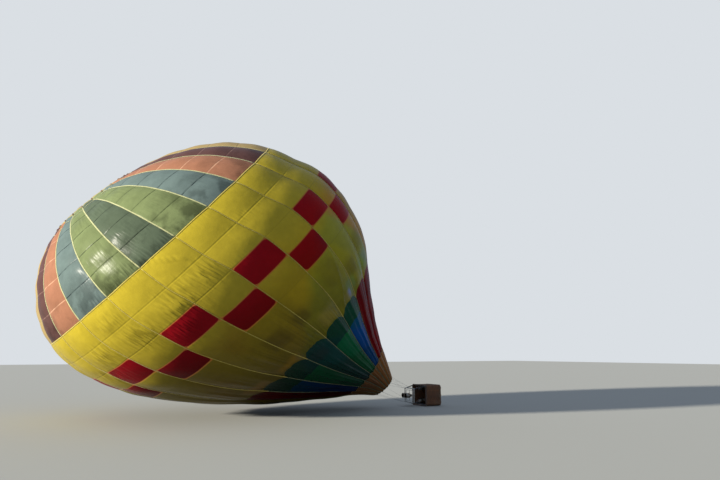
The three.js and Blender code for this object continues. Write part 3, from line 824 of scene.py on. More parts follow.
def oval(width: float, height: float, sides: int, power: float = 2.0) -> Array:
    """Closed section between a circle and a rectangle.

    Args:
        width: its width.
        height: its height.
        sides: its points.
        power: 2 for an ellipse, more for squarer.

    Returns:
        Sides by 2 points.
    """
    angle = np.linspace(0, 2 * math.pi, sides, endpoint=False)
    c, s = np.cos(angle), np.sin(angle)
    return np.stack([width / 2 * np.sign(c) * np.abs(c) ** (2 / power),
                     height / 2 * np.sign(s) * np.abs(s) ** (2 / power)], 1)


@dataclass
class Envelope:
    """The gored cloth envelope, drawn through rings that lean as the photographed balloon does."""

    # Columns: distance along a gore, centre in X, centre above the floor, tilt in degrees, radius
    rings: Array = field(default_factory=lambda: np.array([
        [0.0, -7.350, 10.780, 45.5, 0.000],
        [2.5, -7.165, 10.800, 44.7, 2.060],
        [5.2, -6.310, 10.565, 43.3, 4.445],
        [7.9, -4.954, 9.887, 42.5, 6.450],
        [10.0, -3.521, 9.099, 42.8, 7.535],
        [11.7, -2.332, 8.405, 43.0, 7.935],
        [13.3, -1.146, 7.850, 43.0, 8.115],
        [14.85, 0.000, 7.175, 43.3, 7.965],
        [16.4, 1.106, 6.536, 43.2, 7.570],
        [18.0, 2.699, 5.622, 42.2, 6.700],
        [19.7, 4.137, 4.775, 39.7, 5.470],
        [21.3, 5.410, 3.956, 37.6, 4.275],
        [22.95, 6.690, 3.169, 36.7, 3.095],
        [24.6, 7.976, 2.455, 35.5, 2.050],
        [25.8, 8.839, 1.932, 38.6, 1.405],
        [27.0, 9.730, 1.306, 45.3, 0.780],
    ]))
    # Horizontal seams between cloth panels, as distances along a gore
    seams: tuple[float, ...] = (VENT_EDGE, 4.45, 5.8, 7.15, 8.55, 10.0, 11.65, 13.3, 14.85, 16.4, 18.1, 19.8,
                                21.45, 23.1, SKIRT_TOP)
    cap_end: float = 10.0
    row_a: tuple[float, float] = (13.3, 14.85)
    row_b: tuple[float, float] = (14.85, 16.4)
    petals_start: float = 19.8
    petal_tips_end: float = 20.75
    petal_dome: float = 0.55          # how far a petal's tip reaches beyond its corners
    vent_hem: tuple[float, float] = (2.66, 2.76)   # pale hem round the middle of the vent panel
    row_step: float = 0.19
    strip_swell: tuple[float, float] = (0.036, 0.022)   # rise of a strip between its seams, in the cap and below
    pleat_height: float = 0.019
    slack_height: float = 0.026
    fold_fade: float = 0.25           # length in which a long fold dies away at its ends
    # Columns: distance along a gore, how far its middle stands out beyond the ring
    bulge: Array = field(default_factory=lambda: np.array([
        [0.0, 0.0], [3.4, 0.030], [6.0, 0.055], [10.0, 0.060], [14.0, 0.065], [17.0, 0.080], [19.8, 0.120],
        [22.5, 0.130], [24.8, 0.075], [27.0, 0.025],
    ]))
    # Gathered places: distance along, place round in gores, half length along, half width in gores, strength
    puckers: Array = field(default_factory=lambda: np.array([
        [9.72, 5.3, 0.40, 0.9, 0.9], [9.8, 6.3, 0.3, 0.5, 0.6], [9.75, 4.2, 0.3, 0.5, 0.5],
        [12.9, 5.15, 0.8, 0.40, 1.0], [12.2, 4.9, 0.5, 0.3, 0.7], [12.8, 6.25, 0.8, 0.45, 1.0],
        [13.8, 5.55, 0.6, 0.35, 0.8], [12.5, 4.35, 0.7, 0.3, 0.7], [12.4, 7.35, 0.8, 0.45, 0.9],
        [13.6, 7.95, 0.7, 0.5, 1.0], [11.1, 6.4, 0.5, 0.45, 0.6], [19.2, 3.7, 0.8, 0.7, 0.6],
        [18.9, 4.4, 0.9, 0.6, 0.8], [18.0, 5.0, 0.8, 0.4, 0.4], [5.0, 4.6, 0.9, 1.8, 0.30],
        [8.0, 4.6, 0.8, 1.6, 0.20], [18.1, 4.25, 1.4, 0.25, 1.0], [18.1, 5.42, 1.1, 0.18, 0.9],
    ]))
    # Light and shade that the far side throws on this side. Columns: place round in gores, distance along, half
    # sizes of both, and factors of red, green and blue
    thrown: Array = field(default_factory=lambda: np.array([
        [3.40, 16.9, 0.42, 0.50, 1.35, 1.35, 1.2], [2.50, 17.2, 0.35, 0.70, 0.60, 0.60, 0.5],
        [1.75, 18.0, 0.28, 0.45, 0.38, 0.40, 0.4], [0.70, 17.5, 0.35, 0.40, 0.42, 0.45, 0.4],
        [3.95, 17.7, 0.22, 0.36, 0.34, 0.32, 0.3], [4.80, 17.7, 0.33, 0.45, 0.34, 0.26, 0.3],
        [3.40, 18.75, 0.35, 0.48, 1.9, 1.5, 13.0], [2.10, 18.7, 0.30, 0.42, 0.60, 1.3, 12.0],
        [2.45, 19.0, 0.20, 0.32, 1.8, 1.4, 13.0], [0.90, 18.6, 0.50, 0.50, 0.50, 1.2, 10.0],
        [1.35, 19.4, 0.40, 0.36, 2.2, 1.4, 16.0], [5.35, 19.3, 0.42, 0.42, 2.4, 1.8, 13.0],
        [6.75, 19.2, 0.50, 0.45, 2.4, 1.7, 12.0], [4.60, 20.1, 0.36, 0.40, 12.0, 0.6, 0.8],
    ]))
    # Long folds: from (distance along, place round) to the same, height and half width in metres
    folds: Array = field(default_factory=lambda: np.array([
        [16.5, 3.99, 19.6, 4.42, 0.050, 0.055], [16.7, 4.10, 19.3, 4.52, 0.040, 0.05],
        [15.7, 5.35, 17.9, 5.76, 0.050, 0.055], [15.9, 5.47, 17.6, 5.82, 0.035, 0.05],
        [18.0, 3.92, 20.2, 4.40, 0.045, 0.05], [10.2, 4.70, 11.0, 4.30, 0.040, 0.06],
        [16.7, 2.10, 19.6, 2.92, 0.060, 0.06], [17.0, 2.95, 19.0, 3.15, 0.035, 0.06],
    ]))

    def ring_point(self, along: Array, angle: Array) -> Array:
        """Point on a leaning ring: centre + r cos(a) across + r sin(a) along the ring's own upward line.

        Args:
            along: distance along a gore.
            angle: angle round the ring from +Y.

        Returns:
            Points with a last axis of three.
        """
        tilt = np.radians(spread(along, self.rings, 3))
        radius = spread(along, self.rings, 4)
        up = radius * RING_SQUASH * np.sin(angle)
        x = spread(along, self.rings, 1) + up * np.sin(tilt)
        z = spread(along, self.rings, 2) + up * np.cos(tilt) - GROUND
        return np.stack(np.broadcast_arrays(x, radius * np.cos(angle), z), -1)

    def normal(self, along: Array, angle: Array) -> Array:
        """Outward direction of the smooth envelope, from small steps along and round it.

        Args:
            along: distance along a gore.
            angle: angle round the ring.

        Returns:
            Unit vectors.
        """
        near = np.maximum(along, 0.06)
        down = self.ring_point(near + ALONG_STEP, angle) - self.ring_point(near - ALONG_STEP, angle)
        out = np.cross(self.around(near, angle), down)
        return out / np.linalg.norm(out, axis=-1, keepdims=True)

    def around(self, along: Array, angle: Array) -> Array:
        """Small step round a ring, which gives the direction of its line."""
        return self.ring_point(along, angle + TURN_STEP) - self.ring_point(along, angle - TURN_STEP)

    def round_grid(self, along: Array, columns: int) -> tuple[Array, Array, Array]:
        """Grid right round the envelope.

        Args:
            along: distances of its rows.
            columns: points across each gore.

        Returns:
            Distance along, gore's number and place across it, for each point.
        """
        turn = np.linspace(0, GORES, GORES * columns, endpoint=False)
        s, gore = np.meshgrid(along, np.floor(turn), indexing="ij")
        return s, gore, np.broadcast_to(turn - np.floor(turn), s.shape)

    def rows(self, start: float, end: float) -> Array:
        """Distances of the grid's rows, with one on every seam between start and end.

        Args:
            start: first distance.
            end: last distance.

        Returns:
            Increasing distances.
        """
        stops = sorted([start, *[s for s in (*self.seams, self.petal_tips_end) if start < s < end], end])
        pieces = [np.linspace(a, b, max(2, round((b - a) / self.row_step) + 1))[:-1]
                  for a, b in zip(stops, stops[1:])]
        return np.append(np.concatenate(pieces), end)

    def seam_distance(self, along: Array) -> Array:
        """Distance in metres to the nearest horizontal seam."""
        return np.abs(along[..., None] - np.array(self.seams)).min(-1)

    def width(self, along: Array) -> Array:
        """Width of a gore in metres, at distances along it."""
        return 2 * spread(along, self.rings, 4) * math.sin(GORE_ANGLE / 2)

    def cloth_height(self, gore: Array | float, along: Array, t: Array) -> Array:
        """How far the cloth stands out from the rings: bulge between tapes, strip quilting, folds and slack.

        The bulge is a parabola across the gore. Each strip swells a little between its seams. Lengthwise folds
        are sums of sines across the gore that grow towards the mouth. Slack is a slow wave, most on the underside.

        Args:
            gore: the gore's number.
            along: distance along it.
            t: place across it, 0 to 1.

        Returns:
            Heights in metres, zero at the tapes.
        """
        across = 1 - (2 * t - 1) ** 2
        height = np.interp(along, self.bulge[:, 0], self.bulge[:, 1]) * across
        swell = np.interp(along, [self.cap_end - 0.2, self.cap_end + 0.8], self.strip_swell)
        height = height + swell * np.sqrt(across) * np.clip(self.seam_distance(along) / 0.6, 0, 1)
        angle = turn_angle(gore + t)
        under = 0.5 - 0.5 * np.sin(angle)
        grow = np.clip((along - 16.5) / 5.5, 0, 1) * np.clip((MOUTH_EDGE - along) / 2.5, 0.2, 1)
        phase = gore * 2.399
        waves = (np.sin(2 * np.pi * 1.9 * t + phase + 0.20 * along)
                 + 0.7 * np.sin(2 * np.pi * 3.1 * t + 1.7 * phase - 0.15 * along)
                 + 0.6 * np.sin(2 * np.pi * 4.7 * t + 2.9 * phase + 0.2 * along))
        height = height + waves * self.pleat_height * grow * (0.6 + 0.9 * under) * np.sqrt(across)
        slack = np.sin(1.1 * along + 1.3 * gore) * np.sin(0.63 * along + 2.2 * gore + 3 * t)
        slack = slack + 0.6 * np.sin(2.1 * along + 0.7 * gore + 4 * t) * np.sin(1.7 * gore + 5 * t + 0.4 * along)
        height = height + self.slack_height * (0.04 + under ** 1.5) * slack * across
        round_at = gore + t
        for a0, j0, a1, j1, tall, half in self.folds:
            share = np.clip((along - a0) / (a1 - a0), 0, 1)
            off = (round_at - (j0 + (j1 - j0) * share)) * self.width(along)
            beyond = np.maximum(np.maximum(a0 - along, along - a1), 0)
            height = height + tall * np.exp(-(off / half) ** 2 - (beyond / self.fold_fade) ** 2) * np.sqrt(across)
        return height

    def surface(self, gore: Array | float, along: Array, t: Array, depth: float = 0.0) -> Array:
        """Cloth surface of one gore.

        Args:
            gore: the gore's number.
            along: distances along it.
            t: places across it, 0 to 1.
            depth: how far inside the outer side.

        Returns:
            Points.
        """
        angle = turn_angle(gore + t)
        out = self.cloth_height(gore, along, t) - depth
        return self.ring_point(along, angle) + self.normal(along, angle) * out[..., None]

    def hue(self, gore: int, along: float) -> Hue:
        """Cloth of one strip.

        Args:
            gore: the gore's number.
            along: the strip's middle.

        Returns:
            Its hue.
        """
        if along < self.vent_hem[1]:
            return Hue.PALE
        if along < self.cap_end:
            return CAP_HUES[gore % len(CAP_HUES)]
        if self.row_a[0] < along < self.row_a[1] and gore % 2 == 1:
            return Hue.RED
        if self.row_b[0] < along < self.row_b[1] and gore % 2 == 0:
            return Hue.RED
        if along > SKIRT_TOP:
            return Hue.TAN
        if along > self.petals_start:
            petal = PETAL_HUES[gore % len(PETAL_HUES)]
            return PETAL_TIPS.get(petal, petal) if along < self.petal_tips_end else petal
        return Hue.YELLOW

    def trim_distance(self, gore: int, along: Array, t: Array) -> Array:
        """Distance to the nearest edge of a red panel.

        Args:
            gore: the gore's number.
            along: distances along it.
            t: places across it.

        Returns:
            Distances in metres.
        """
        width = self.width(along)
        nearest = np.full(along.shape, 9.0)
        for other in (gore - 1, gore, gore + 1):
            low, high = self.row_a if other % 2 else self.row_b
            beside = (np.abs(gore + t - (other + 0.5)) - 0.5) * width
            beyond = np.maximum(low - along, along - high)
            outside = np.hypot(np.maximum(beside, 0), np.maximum(beyond, 0))
            inside = np.minimum(np.maximum(beside, beyond), 0)
            nearest = np.minimum(nearest, np.abs(outside + inside))
        return nearest

    def pucker(self, gore: Array | float, along: Array, t: Array) -> Array:
        """How gathered the cloth is.

        Args:
            gore: the gore's number.
            along: distances along it.
            t: places across it.

        Returns:
            0 where it is taut, up to 1.
        """
        value = np.zeros(np.broadcast(along, t).shape)
        for a, j, half_long, half_wide, strength in self.puckers:
            far = ((along - a) / half_long) ** 2 + ((gore + t - j) / half_wide) ** 2
            value = np.maximum(value, strength * np.exp(-far))
        return value

    def sun_chart(self) -> None:
        """Charts the cloth that the sun meets, seen along its rays, as colours on a plane across them."""
        level = np.cross(SUN_RAY, [0, 1, 0])
        level /= np.linalg.norm(level)
        self.plane = np.array([level, np.cross(level, SUN_RAY)])
        along, turn = np.meshgrid(np.linspace(0.2, 26.8, 640), np.linspace(0, GORES, 960, endpoint=False),
                                  indexing="ij")
        angle = turn_angle(turn)
        lit = (self.normal(along, angle) @ SUN_RAY) < 0
        gore = turn.astype(int)
        tints = {hue: np.array(srgb(hue.value.through)[:3]) for hue in Hue}
        strong = {hue: (t / max(t.max(), 1e-3)) * (0.35 + 0.65 * min(1.0, t.max() / 0.6)) for hue, t in tints.items()}
        table = np.array([[strong[self.hue(g, float(a))] for g in range(GORES)] for a in along[:, 0]])
        colour = table[np.arange(len(along))[:, None], gore]
        where = self.ring_point(along, angle) @ self.plane.T
        self.chart_low, self.chart_size = where.min((0, 1)), 360
        self.chart_step = (where.max((0, 1)) - self.chart_low).max() / (self.chart_size - 1)
        cell = np.round((where - self.chart_low) / self.chart_step).astype(int)
        self.chart = np.full((self.chart_size, self.chart_size, 3), 1.0)
        self.chart[cell[lit][:, 0], cell[lit][:, 1]] = colour[lit]
        # Sunlight is spread a little by the cloth and the width of the sun
        for axis in (0, 1):
            self.chart = sum(np.roll(self.chart, k, axis) for k in range(-3, 4)) / 7

    def sun_tint(self, points: Array, outward: Array) -> Array:
        """Colour that the sunlight has after it came through the far side of the envelope.

        Args:
            points: places on the cloth.
            outward: outward directions there.

        Returns:
            Red, green, blue and 1 for each place.
        """
        cell = np.clip(np.round((points @ self.plane.T - self.chart_low) / self.chart_step).astype(int), 0,
                       self.chart_size - 1)
        share = np.clip((outward @ SUN_RAY) / 0.35, 0, 1)[..., None]
        tint = 1 + (self.chart[cell[..., 0], cell[..., 1]] - 1) * share
        return np.concatenate([tint, np.ones((*tint.shape[:-1], 1))], -1)

    def throw(self, gore: int, along: Array, t: Array, petal: Array) -> Array:
        """Light and shade thrown on one gore from the far side, as factors.

        Args:
            gore: the gore's number.
            along: distances along it.
            t: places across it.
            petal: whether each place is on a petal.

        Returns:
            Red, green, blue and 1 for each place.
        """
        factor = np.ones((*along.shape, 4))
        for row in self.thrown:
            far = ((gore + t - row[0]) / row[2]) ** 6 + ((along - row[1]) / row[3]) ** 6
            far = far + 99.0 * (petal != (row[1] > self.petals_start))
            factor[..., :3] *= 1 + (row[4:] - 1) * np.exp(-far)[..., None]
        return factor

    def paint(self, piece: bpy.types.Object, tint: Array) -> None:
        """Gives a piece its sun tint.

        Args:
            piece: the piece.
            tint: rows by columns by 4, for its outer and inner side.
        """
        data = np.concatenate([tint.reshape(-1, 4)] * 2)
        piece.data.attributes.new("tint", "FLOAT_COLOR", "POINT").data.foreach_set(
            "color", data.astype(np.float32).ravel())

    def cloth_numbers(self, gore: Array | float, s: Array, t: Array, trim: Array | float) -> dict[str, Array]:
        """Values that the cloth's material reads.

        Args:
            gore: the gore's number.
            s: distances along.
            t: places across.
            trim: distance to a red panel's edge.

        Returns:
            Names to values for both sides.
        """
        angle = turn_angle(gore + t)
        # Painted shade darkens the cloth that faces down, more so past the envelope's widest part, and towards the
        # mouth soot and painted shade darken it together
        under = np.clip(0.15 - self.normal(s, angle)[..., 2], 0, 1)
        soot_and_shade = np.clip((s - 15.0) / 4.5, 0, 1) * (s < SKIRT_TOP)
        low = under * np.clip((s - 13.0) / 3.5, 0, 1)
        darkening = 0.22 * under + 0.42 * low + 0.25 * soot_and_shade
        values = {"seam": self.seam_distance(s), "trim": trim, "along": s, "darkening": darkening,
                  "across": (t - 0.5) * self.width(s) + gore * 3.7, "pucker": self.pucker(gore, s, t)}
        return {key: np.tile(np.broadcast_to(v, s.shape).ravel(), 2) for key, v in values.items()}

    def build_gore(self, gore: int) -> bpy.types.Object:
        """Makes one gore as a closed shell and gives each strip its cloth.

        Args:
            gore: the gore's number, from 0.

        Returns:
            The gore.
        """
        along = self.rows(VENT_EDGE, SKIRT_TOP)
        columns = 37 if 1 <= gore <= 8 else 17
        s, t = np.meshgrid(along, np.linspace(0, 1, columns), indexing="ij")
        tip = np.exp(-((s - self.petals_start) / 1.0) ** 2) * (1 - np.abs(2 * t - 1) ** 3)
        petal = s > self.petals_start - 0.05
        s = s - self.petal_dome * tip
        outer = self.surface(gore, s, t)
        points, faces = shell_form(outer, self.surface(gore, s, t, SHELL))
        strips = [self.hue(gore, float(m)) for m in (along[1:] + along[:-1]) / 2]
        used = list(dict.fromkeys(strips))
        number = np.array([used.index(h) for h in strips])
        parts = Parts()
        parts.add((points, []), **self.cloth_numbers(gore, s, t, self.trim_distance(gore, s, t)))
        slots = [np.repeat(number, columns - 1), np.repeat(number, columns - 1),
                 np.full(columns - 1, number[0]), np.full(columns - 1, number[-1]), number, number]
        for array, slot in zip(faces, slots):
            for value in range(len(used)):
                if (slot == value).any():
                    parts.faces.append((array[slot == value], value, True))
        piece = parts.build(f"cloth_gore_{gore + 1:02d}", [self.cloths[h] for h in used], "balloon",
                            (f"gore_{gore + 1:02d}",))
        tint = self.sun_tint(outer, self.normal(s, turn_angle(gore + t)))
        self.paint(piece, tint * self.throw(gore, s, t, petal))
        self.declare_sheet(piece, outer)
        return piece

    def declare_sheet(self, piece: bpy.types.Object, grid: Array, across: float | None = None) -> None:
        """Works out a cross product for each cell of the grid, and does nothing more with it.

        Args:
            piece: not used.
            grid: its outer side, rows by columns by 3.
            across: not used.
        """
        cross = np.cross(grid[1:, :-1] - grid[:-1, :-1], grid[:-1, 1:] - grid[:-1, :-1])

    def build(self) -> None:
        """Makes every gore."""
        self.sun_chart()
        self.cloths = {hue: hue.value.build() for hue in Hue}
        for gore in range(GORES):
            self.build_gore(gore)
        log.info("envelope: %d gores", GORES)


@dataclass
class Crown:
    """Parachute vent, crown ring and the load tapes over the gores' edges."""

    envelope: Envelope
    finishes: Finishes
    tape_half: float = 0.030
    vent_tape_half: float = 0.025
    tape_lift: float = 0.007
    ring_radius: float = 0.150

    def ribbon(self, seam: int, along: Array) -> tuple[Array, Array]:
        """Upper and lower side of a flat tape along a seam's line, where it crosses the vent.

        Args:
            seam: the seam's number.
            along: distances along it.

        Returns:
            Two grids of rows by 3 by 3 points.
        """
        e = self.envelope
        angle = np.full_like(along, turn_angle(seam))
        middle, out = e.ring_point(along, angle), e.normal(along, angle)
        across = e.around(along, angle)
        across /= np.maximum(np.linalg.norm(across, axis=1, keepdims=True), 1e-9)
        offset = np.array([-1.0, 0.0, 1.0])[None, :, None] * self.vent_tape_half
        upper = middle[:, None] + across[:, None] * offset + out[:, None] * 0.002
        return upper, upper - out[:, None] * 0.004

    def seam_tape(self, seam: int, along: Array, half: float, lift: float) -> tuple[Array, Array]:
        """Upper and lower side of a tape that follows the cloth on both sides of a seam.

        Args:
            seam: the seam's number.
            along: distances along it.
            half: half its width.
            lift: how far it stands off the cloth.

        Returns:
            Two grids of rows by 5 by 3 points.
        """
        e = self.envelope
        share = half / e.width(along)
        columns = [(seam - 1, 1 - share), (seam - 1, 1 - share / 2), (seam, np.zeros_like(share)), (seam, share / 2),
                   (seam, share)]
        upper = np.stack([e.surface(g, along, t, -lift) for g, t in columns], 1)
        return upper, np.stack([e.surface(g, along, t, -lift + 0.003) for g, t in columns], 1)

    def build_tapes(self) -> None:
        """Makes the tapes from the vent's edge to the mouth, in three colours that follow the cloth."""
        e = self.envelope
        parts = Parts()
        for seam in range(GORES):
            for slot, (start, end) in enumerate(((VENT_EDGE, e.cap_end), (e.cap_end, e.petals_start),
                                                 (e.petals_start, MOUTH_EDGE - 0.03))):
                half = self.tape_half * (1.0 if slot == 0 else 0.7)
                parts.add(shell_form(*self.seam_tape(seam, e.rows(start, end), half, self.tape_lift)), slot)
        # A doubled tape closes the cap, and a narrower one the vent's edge
        for at, half, slot in ((e.cap_end, 0.035, 1), (VENT_EDGE + 0.03, 0.03, 0)):
            s, g, t = e.round_grid(at + np.array([-half, 0, half]), 16)
            parts.add(shell_form(e.surface(g, s, t, -0.007), e.surface(g, s, t, -0.002), True), slot)
        parts.build("load_tapes", [self.finishes[n] for n in ("webbing", "webbing_yellow", "webbing_dark")],
                    "balloon")

    def build_ring(self) -> None:
        """Makes the crown ring and the tapes that cross the vent's hole to it, each looped and stitched."""
        e = self.envelope
        parts = Parts()
        turn = np.linspace(0, 2 * math.pi, 96, endpoint=False)
        at = np.full_like(turn, self.ring_radius)
        hoop = e.ring_point(at, turn) + e.normal(at, turn) * 0.006
        parts.add(tube(hoop, 0.010, 12, closed=True), 0)
        for seam in range(GORES):
            along = np.concatenate([np.linspace(self.ring_radius, VENT_EDGE, 18), [VENT_EDGE + 0.12]])
            parts.add(shell_form(*self.ribbon(seam, along)), 1)
            # The tape is folded back over the ring and stitched down
            loop = np.linspace(self.ring_radius - 0.02, self.ring_radius + 0.14, 5)
            upper, lower = self.ribbon(seam, loop)
            out = e.normal(loop, np.full_like(loop, turn_angle(seam)))[:, None]
            parts.add(shell_form(upper + out * 0.018, lower + out * 0.018), 2)
            # Webbing loop and stitched patch on each tape near the pale hem
            patch = np.linspace(e.vent_hem[0] - 0.10, e.vent_hem[1] + 0.10, 5)
            parts.add(shell_form(*(side + 0.0015 * e.normal(patch, np.full_like(patch, turn_angle(seam)))
                                   [:, None] for side in self.ribbon(seam, patch))), 3)
            knuckle = np.linspace(e.vent_hem[0], e.vent_hem[1] + 0.08, 9)
            angle = np.full_like(knuckle, turn_angle(seam))
            arch = np.sin(np.linspace(0, math.pi, 9))[:, None]
            loop_path = e.ring_point(knuckle, angle) + e.normal(knuckle, angle) * (0.012 + 0.055 * arch)
            parts.add(tube(loop_path, 0.014, 8, flat=1.6), 3)
        parts.build("crown_ring_and_tapes", [self.finishes[n] for n in ("steel", "webbing", "thread", "hide")],
                    "balloon", ("crown_ring",))

    def build_vent(self) -> None:
        """Makes the parachute panel that closes the hole from inside."""
        e = self.envelope
        along = np.concatenate([[0.03, 0.12], np.linspace(0.3, e.vent_hem[0], 17), [e.vent_hem[1]],
                                np.linspace(2.9, VENT_PANEL_EDGE, 8)])
        s, g, t = e.round_grid(along, 10)
        outer, inner = e.surface(g, s, t, SHELL + 0.003), e.surface(g, s, t, SHELL + 0.010)
        points, faces = shell_form(outer, inner, True)
        # A pale middle with a brighter hem, then the colours of the gores
        hues = list(dict.fromkeys([Hue.PALE, Hue.YELLOW, *CAP_HUES]))
        strip = (along[1:] + along[:-1]) / 2
        slot = np.array([[0 if m < e.vent_hem[0] else 1 if m < e.vent_hem[1] else
                          hues.index(CAP_HUES[int(k) % len(CAP_HUES)]) for k in g[0]] for m in strip]).ravel()
        parts = Parts().add((points, []), **e.cloth_numbers(g, s, t, 9.0))
        for array in faces[:2]:
            for value in range(len(hues)):
                parts.faces.append((array[slot == value], value, True))
        # Small caps close the panel at its middle, on both sides
        ring = np.arange(g.shape[1])
        parts.faces += [(faces[3], 1, True), (ring[None], 0, True), ((ring[::-1] + g.size)[None], 0, True)]
        piece = parts.build("vent_parachute", [e.cloths[hue] for hue in hues], "vent", ("vent_panel",))
        e.paint(piece, np.ones((*s.shape, 4)))
        e.declare_sheet(piece, np.concatenate([outer, outer[:, :1]], 1), 2 * VENT_PANEL_EDGE)

    def build(self) -> None:
        """Makes the crown's pieces."""
        self.build_tapes()
        self.build_ring()
        self.build_vent()


@dataclass
class Skirt:
    """Fireproof skirt round the mouth, gathered into folds, with a hem over a wire."""

    envelope: Envelope
    finishes: Finishes

    def build(self) -> None:
        """Makes the skirt and its hem."""
        e = self.envelope
        along = np.append(np.arange(SKIRT_TOP, MOUTH_EDGE - 0.01, 0.12), MOUTH_EDGE - 0.004)
        s, g, t = e.round_grid(along, 16)
        outer = e.surface(g, s, t)
        parts = Parts().add(shell_form(outer, e.surface(g, s, t, 0.006), True), **e.cloth_numbers(g, s, t, 9.0))
        piece = parts.build("skirt_cloth", [e.cloths[Hue.TAN]], "balloon", ("mouth_skirt",))
        e.paint(piece, e.sun_tint(outer, e.normal(s, turn_angle(g + t))))
        e.declare_sheet(piece, np.concatenate([outer, outer[:, :1]], 1))
        edge = e.surface(g[0], np.full_like(t[0], MOUTH_EDGE - 0.01), t[0], 0.003)
        hem = Parts().add(tube(edge, 0.011, 8, closed=True, flat=0.8))
        top = e.surface(g[0], np.full_like(t[0], SKIRT_TOP + 0.02), t[0], -0.003)
        hem.add(tube(top, 0.012, 6, closed=True, flat=0.5))
        hem.build("skirt_hems", [self.finishes["webbing_dark"]], "balloon")


@dataclass
class Basket:
    """Wicker basket with its floor, runners, padded rim, fuel tanks and padded uprights."""

    finishes: Finishes
    x: float = 1.26
    y: float = 1.56
    wall: float = 0.04
    corner: float = 0.14
    low: float = 0.0805
    top: float = 1.110
    weave_depth: float = 0.0085       # the mean surface lies this far inside the wall's face
    stakes: int = 80
    weaver_pitch: float = 0.0130
    hole: tuple[float, float] = (0.15, 0.11)
    hole_places: tuple[tuple[float, float], ...] = ((0.33, -0.23), (0.70, 0.23))   # lower edge and place across
    tank_place: tuple[float, float] = (0.418, 0.568)
    tank_radius: float = 0.160
    rim_section: tuple[float, float] = (0.080, 0.0698)
    rim_outline: tuple[float, float, float] = (1.22, 1.52, 0.11)     # size in x, size in y and corner
    rim_low: float = 1.1103
    floor_outline: tuple[float, float, float] = (1.24, 1.54, 0.13)
    runner_size: tuple[float, float, float] = (0.07, 1.48, 0.0477)
    runner_gap: float = 0.43
    upright_foot: tuple[float, float] = (0.56, 0.71)
    upright_head: tuple[float, float] = (0.40, 0.50)
    cover_radius: float = 0.0305
    padding: float = 0.6              # share of a padded piece that its filling takes up

    def weave_height(self, u: Array, z: Array) -> tuple[Array, Array, Array]:
        """Plain weave: each round weaver passes in front of one stake and behind the next.

        Args:
            u: place round the wall, in stakes.
            z: height.

        Returns:
            Height of the surface, each rod's tone and how far down in a gap a point lies, which the material darkens
            as painted shade.
        """
        v = (z - self.low) / self.weaver_pitch
        row = np.floor(v)
        rounded = np.sqrt(np.clip(1 - (2 * (v - row - 0.5)) ** 2, 0, 1))
        weaver = 0.0042 * np.cos(math.pi * (u + row)) + 0.0036 * rounded
        beside = (u - np.round(u)) * 0.067
        stake = np.sqrt(np.clip(0.0058**2 - beside**2, 0, None)) - 0.0005
        height = np.maximum(weaver, stake)
        rod = np.where(weaver > stake, row * 12.9898 + np.floor((u + row) / 2) * 78.233, np.round(u) * 37.719)
        tone = np.abs(np.sin(rod) * 43758.5453) % 1.0
        return height, tone, np.clip((0.0035 - height) / 0.006, 0, 1)

    def build_weave(self, outside: bool) -> None:
        """Makes one side of the woven wall, with the step holes left out.

        Args:
            outside: whether it is the outer side.
        """
        inset = self.weave_depth if outside else self.wall - self.weave_depth
        points, out = rounded_rectangle(self.x - 2 * inset, self.y - 2 * inset, self.corner - inset, 0.0165)
        columns = len(points)
        u = np.arange(columns) / columns * self.stakes
        rows = round((self.top - self.low) / self.weaver_pitch) * 3
        z = np.append(self.low + (np.arange(rows) + 0.04) * self.weaver_pitch / 3, self.top)
        z = z[z <= self.top]
        grid_u, grid_z = np.meshgrid(u, z)
        height, tone, deep = self.weave_height(grid_u, grid_z)
        flat = points[None] + out[None] * (height if outside else -height)[..., None]
        grid = np.concatenate([flat, grid_z[..., None]], 2)
        faces = grid_faces(len(z), columns, True)
        middle = grid.reshape(-1, 3)[faces].mean(1)
        kept = np.ones(len(faces), bool)
        for lower, across in self.hole_places:
            kept &= ~((np.abs(middle[:, 1] - across) < self.hole[0] / 2)
                      & (np.abs(middle[:, 2] - lower - self.hole[1] / 2) < self.hole[1] / 2)
                      & (np.abs(middle[:, 0]) > self.x / 2 - 0.1))
        faces = faces[kept] if not outside else faces[kept][:, ::-1]
        parts = Parts(laid).add((grid.reshape(-1, 3), [faces]), tone=tone, deep=deep)
        name = "wicker_outside" if outside else "wicker_inside"
        parts.build(name, [self.finishes["wicker_cane"]], "balloon", ("basket_walls",) if outside else ())

    def build_trim(self) -> None:
        """Makes what is sewn to the wicker: step linings, the scuff band, edge rolls and the rim's lacing."""
        parts = Parts(laid)
        outline, facing = rounded_rectangle(self.hole[0] + 0.006, self.hole[1] + 0.006, 0.02, 0.012)
        for side in (-1, 1):
            for lower, across in self.hole_places:
                middle = np.array([0, across, lower + self.hole[1] / 2])
                faces_x = [side * (self.x / 2 + 0.003), side * (self.x / 2 - self.wall - 0.003)]
                outer = np.stack([np.column_stack([np.full(len(outline), x), outline]) for x in faces_x]) + middle
                inner = outer - np.column_stack([np.zeros(len(outline)), facing]) * 0.007
                lining, skin = shell_form(outer, inner, True)
                parts.add((lining, skin if side < 0 else [f[:, ::-1] for f in skin]), 0)
                for x in faces_x:
                    ring = np.column_stack([np.full(len(outline), x), outline]) + middle
                    parts.add(tube(ring, 0.0085, 8, closed=True), 0)
        scuff = np.array([[0.001, 0.0], [0.001, 0.085], [0.006, 0.083], [0.006, 0.002]]) + np.array([0, self.low])
        parts.add(band(self.x, self.y, self.corner, scuff[::-1], 0.03), 1)
        for z, radius in ((0.172, 0.007), (1.098, 0.008), (1.084, 0.007)):
            points, _ = rounded_rectangle(self.x + 0.004, self.y + 0.004, self.corner, 0.012)
            parts.add(tube(np.column_stack([points, np.full(len(points), z)]), radius, 8, closed=True, strands=3,
                           pitch=0.05), 2)
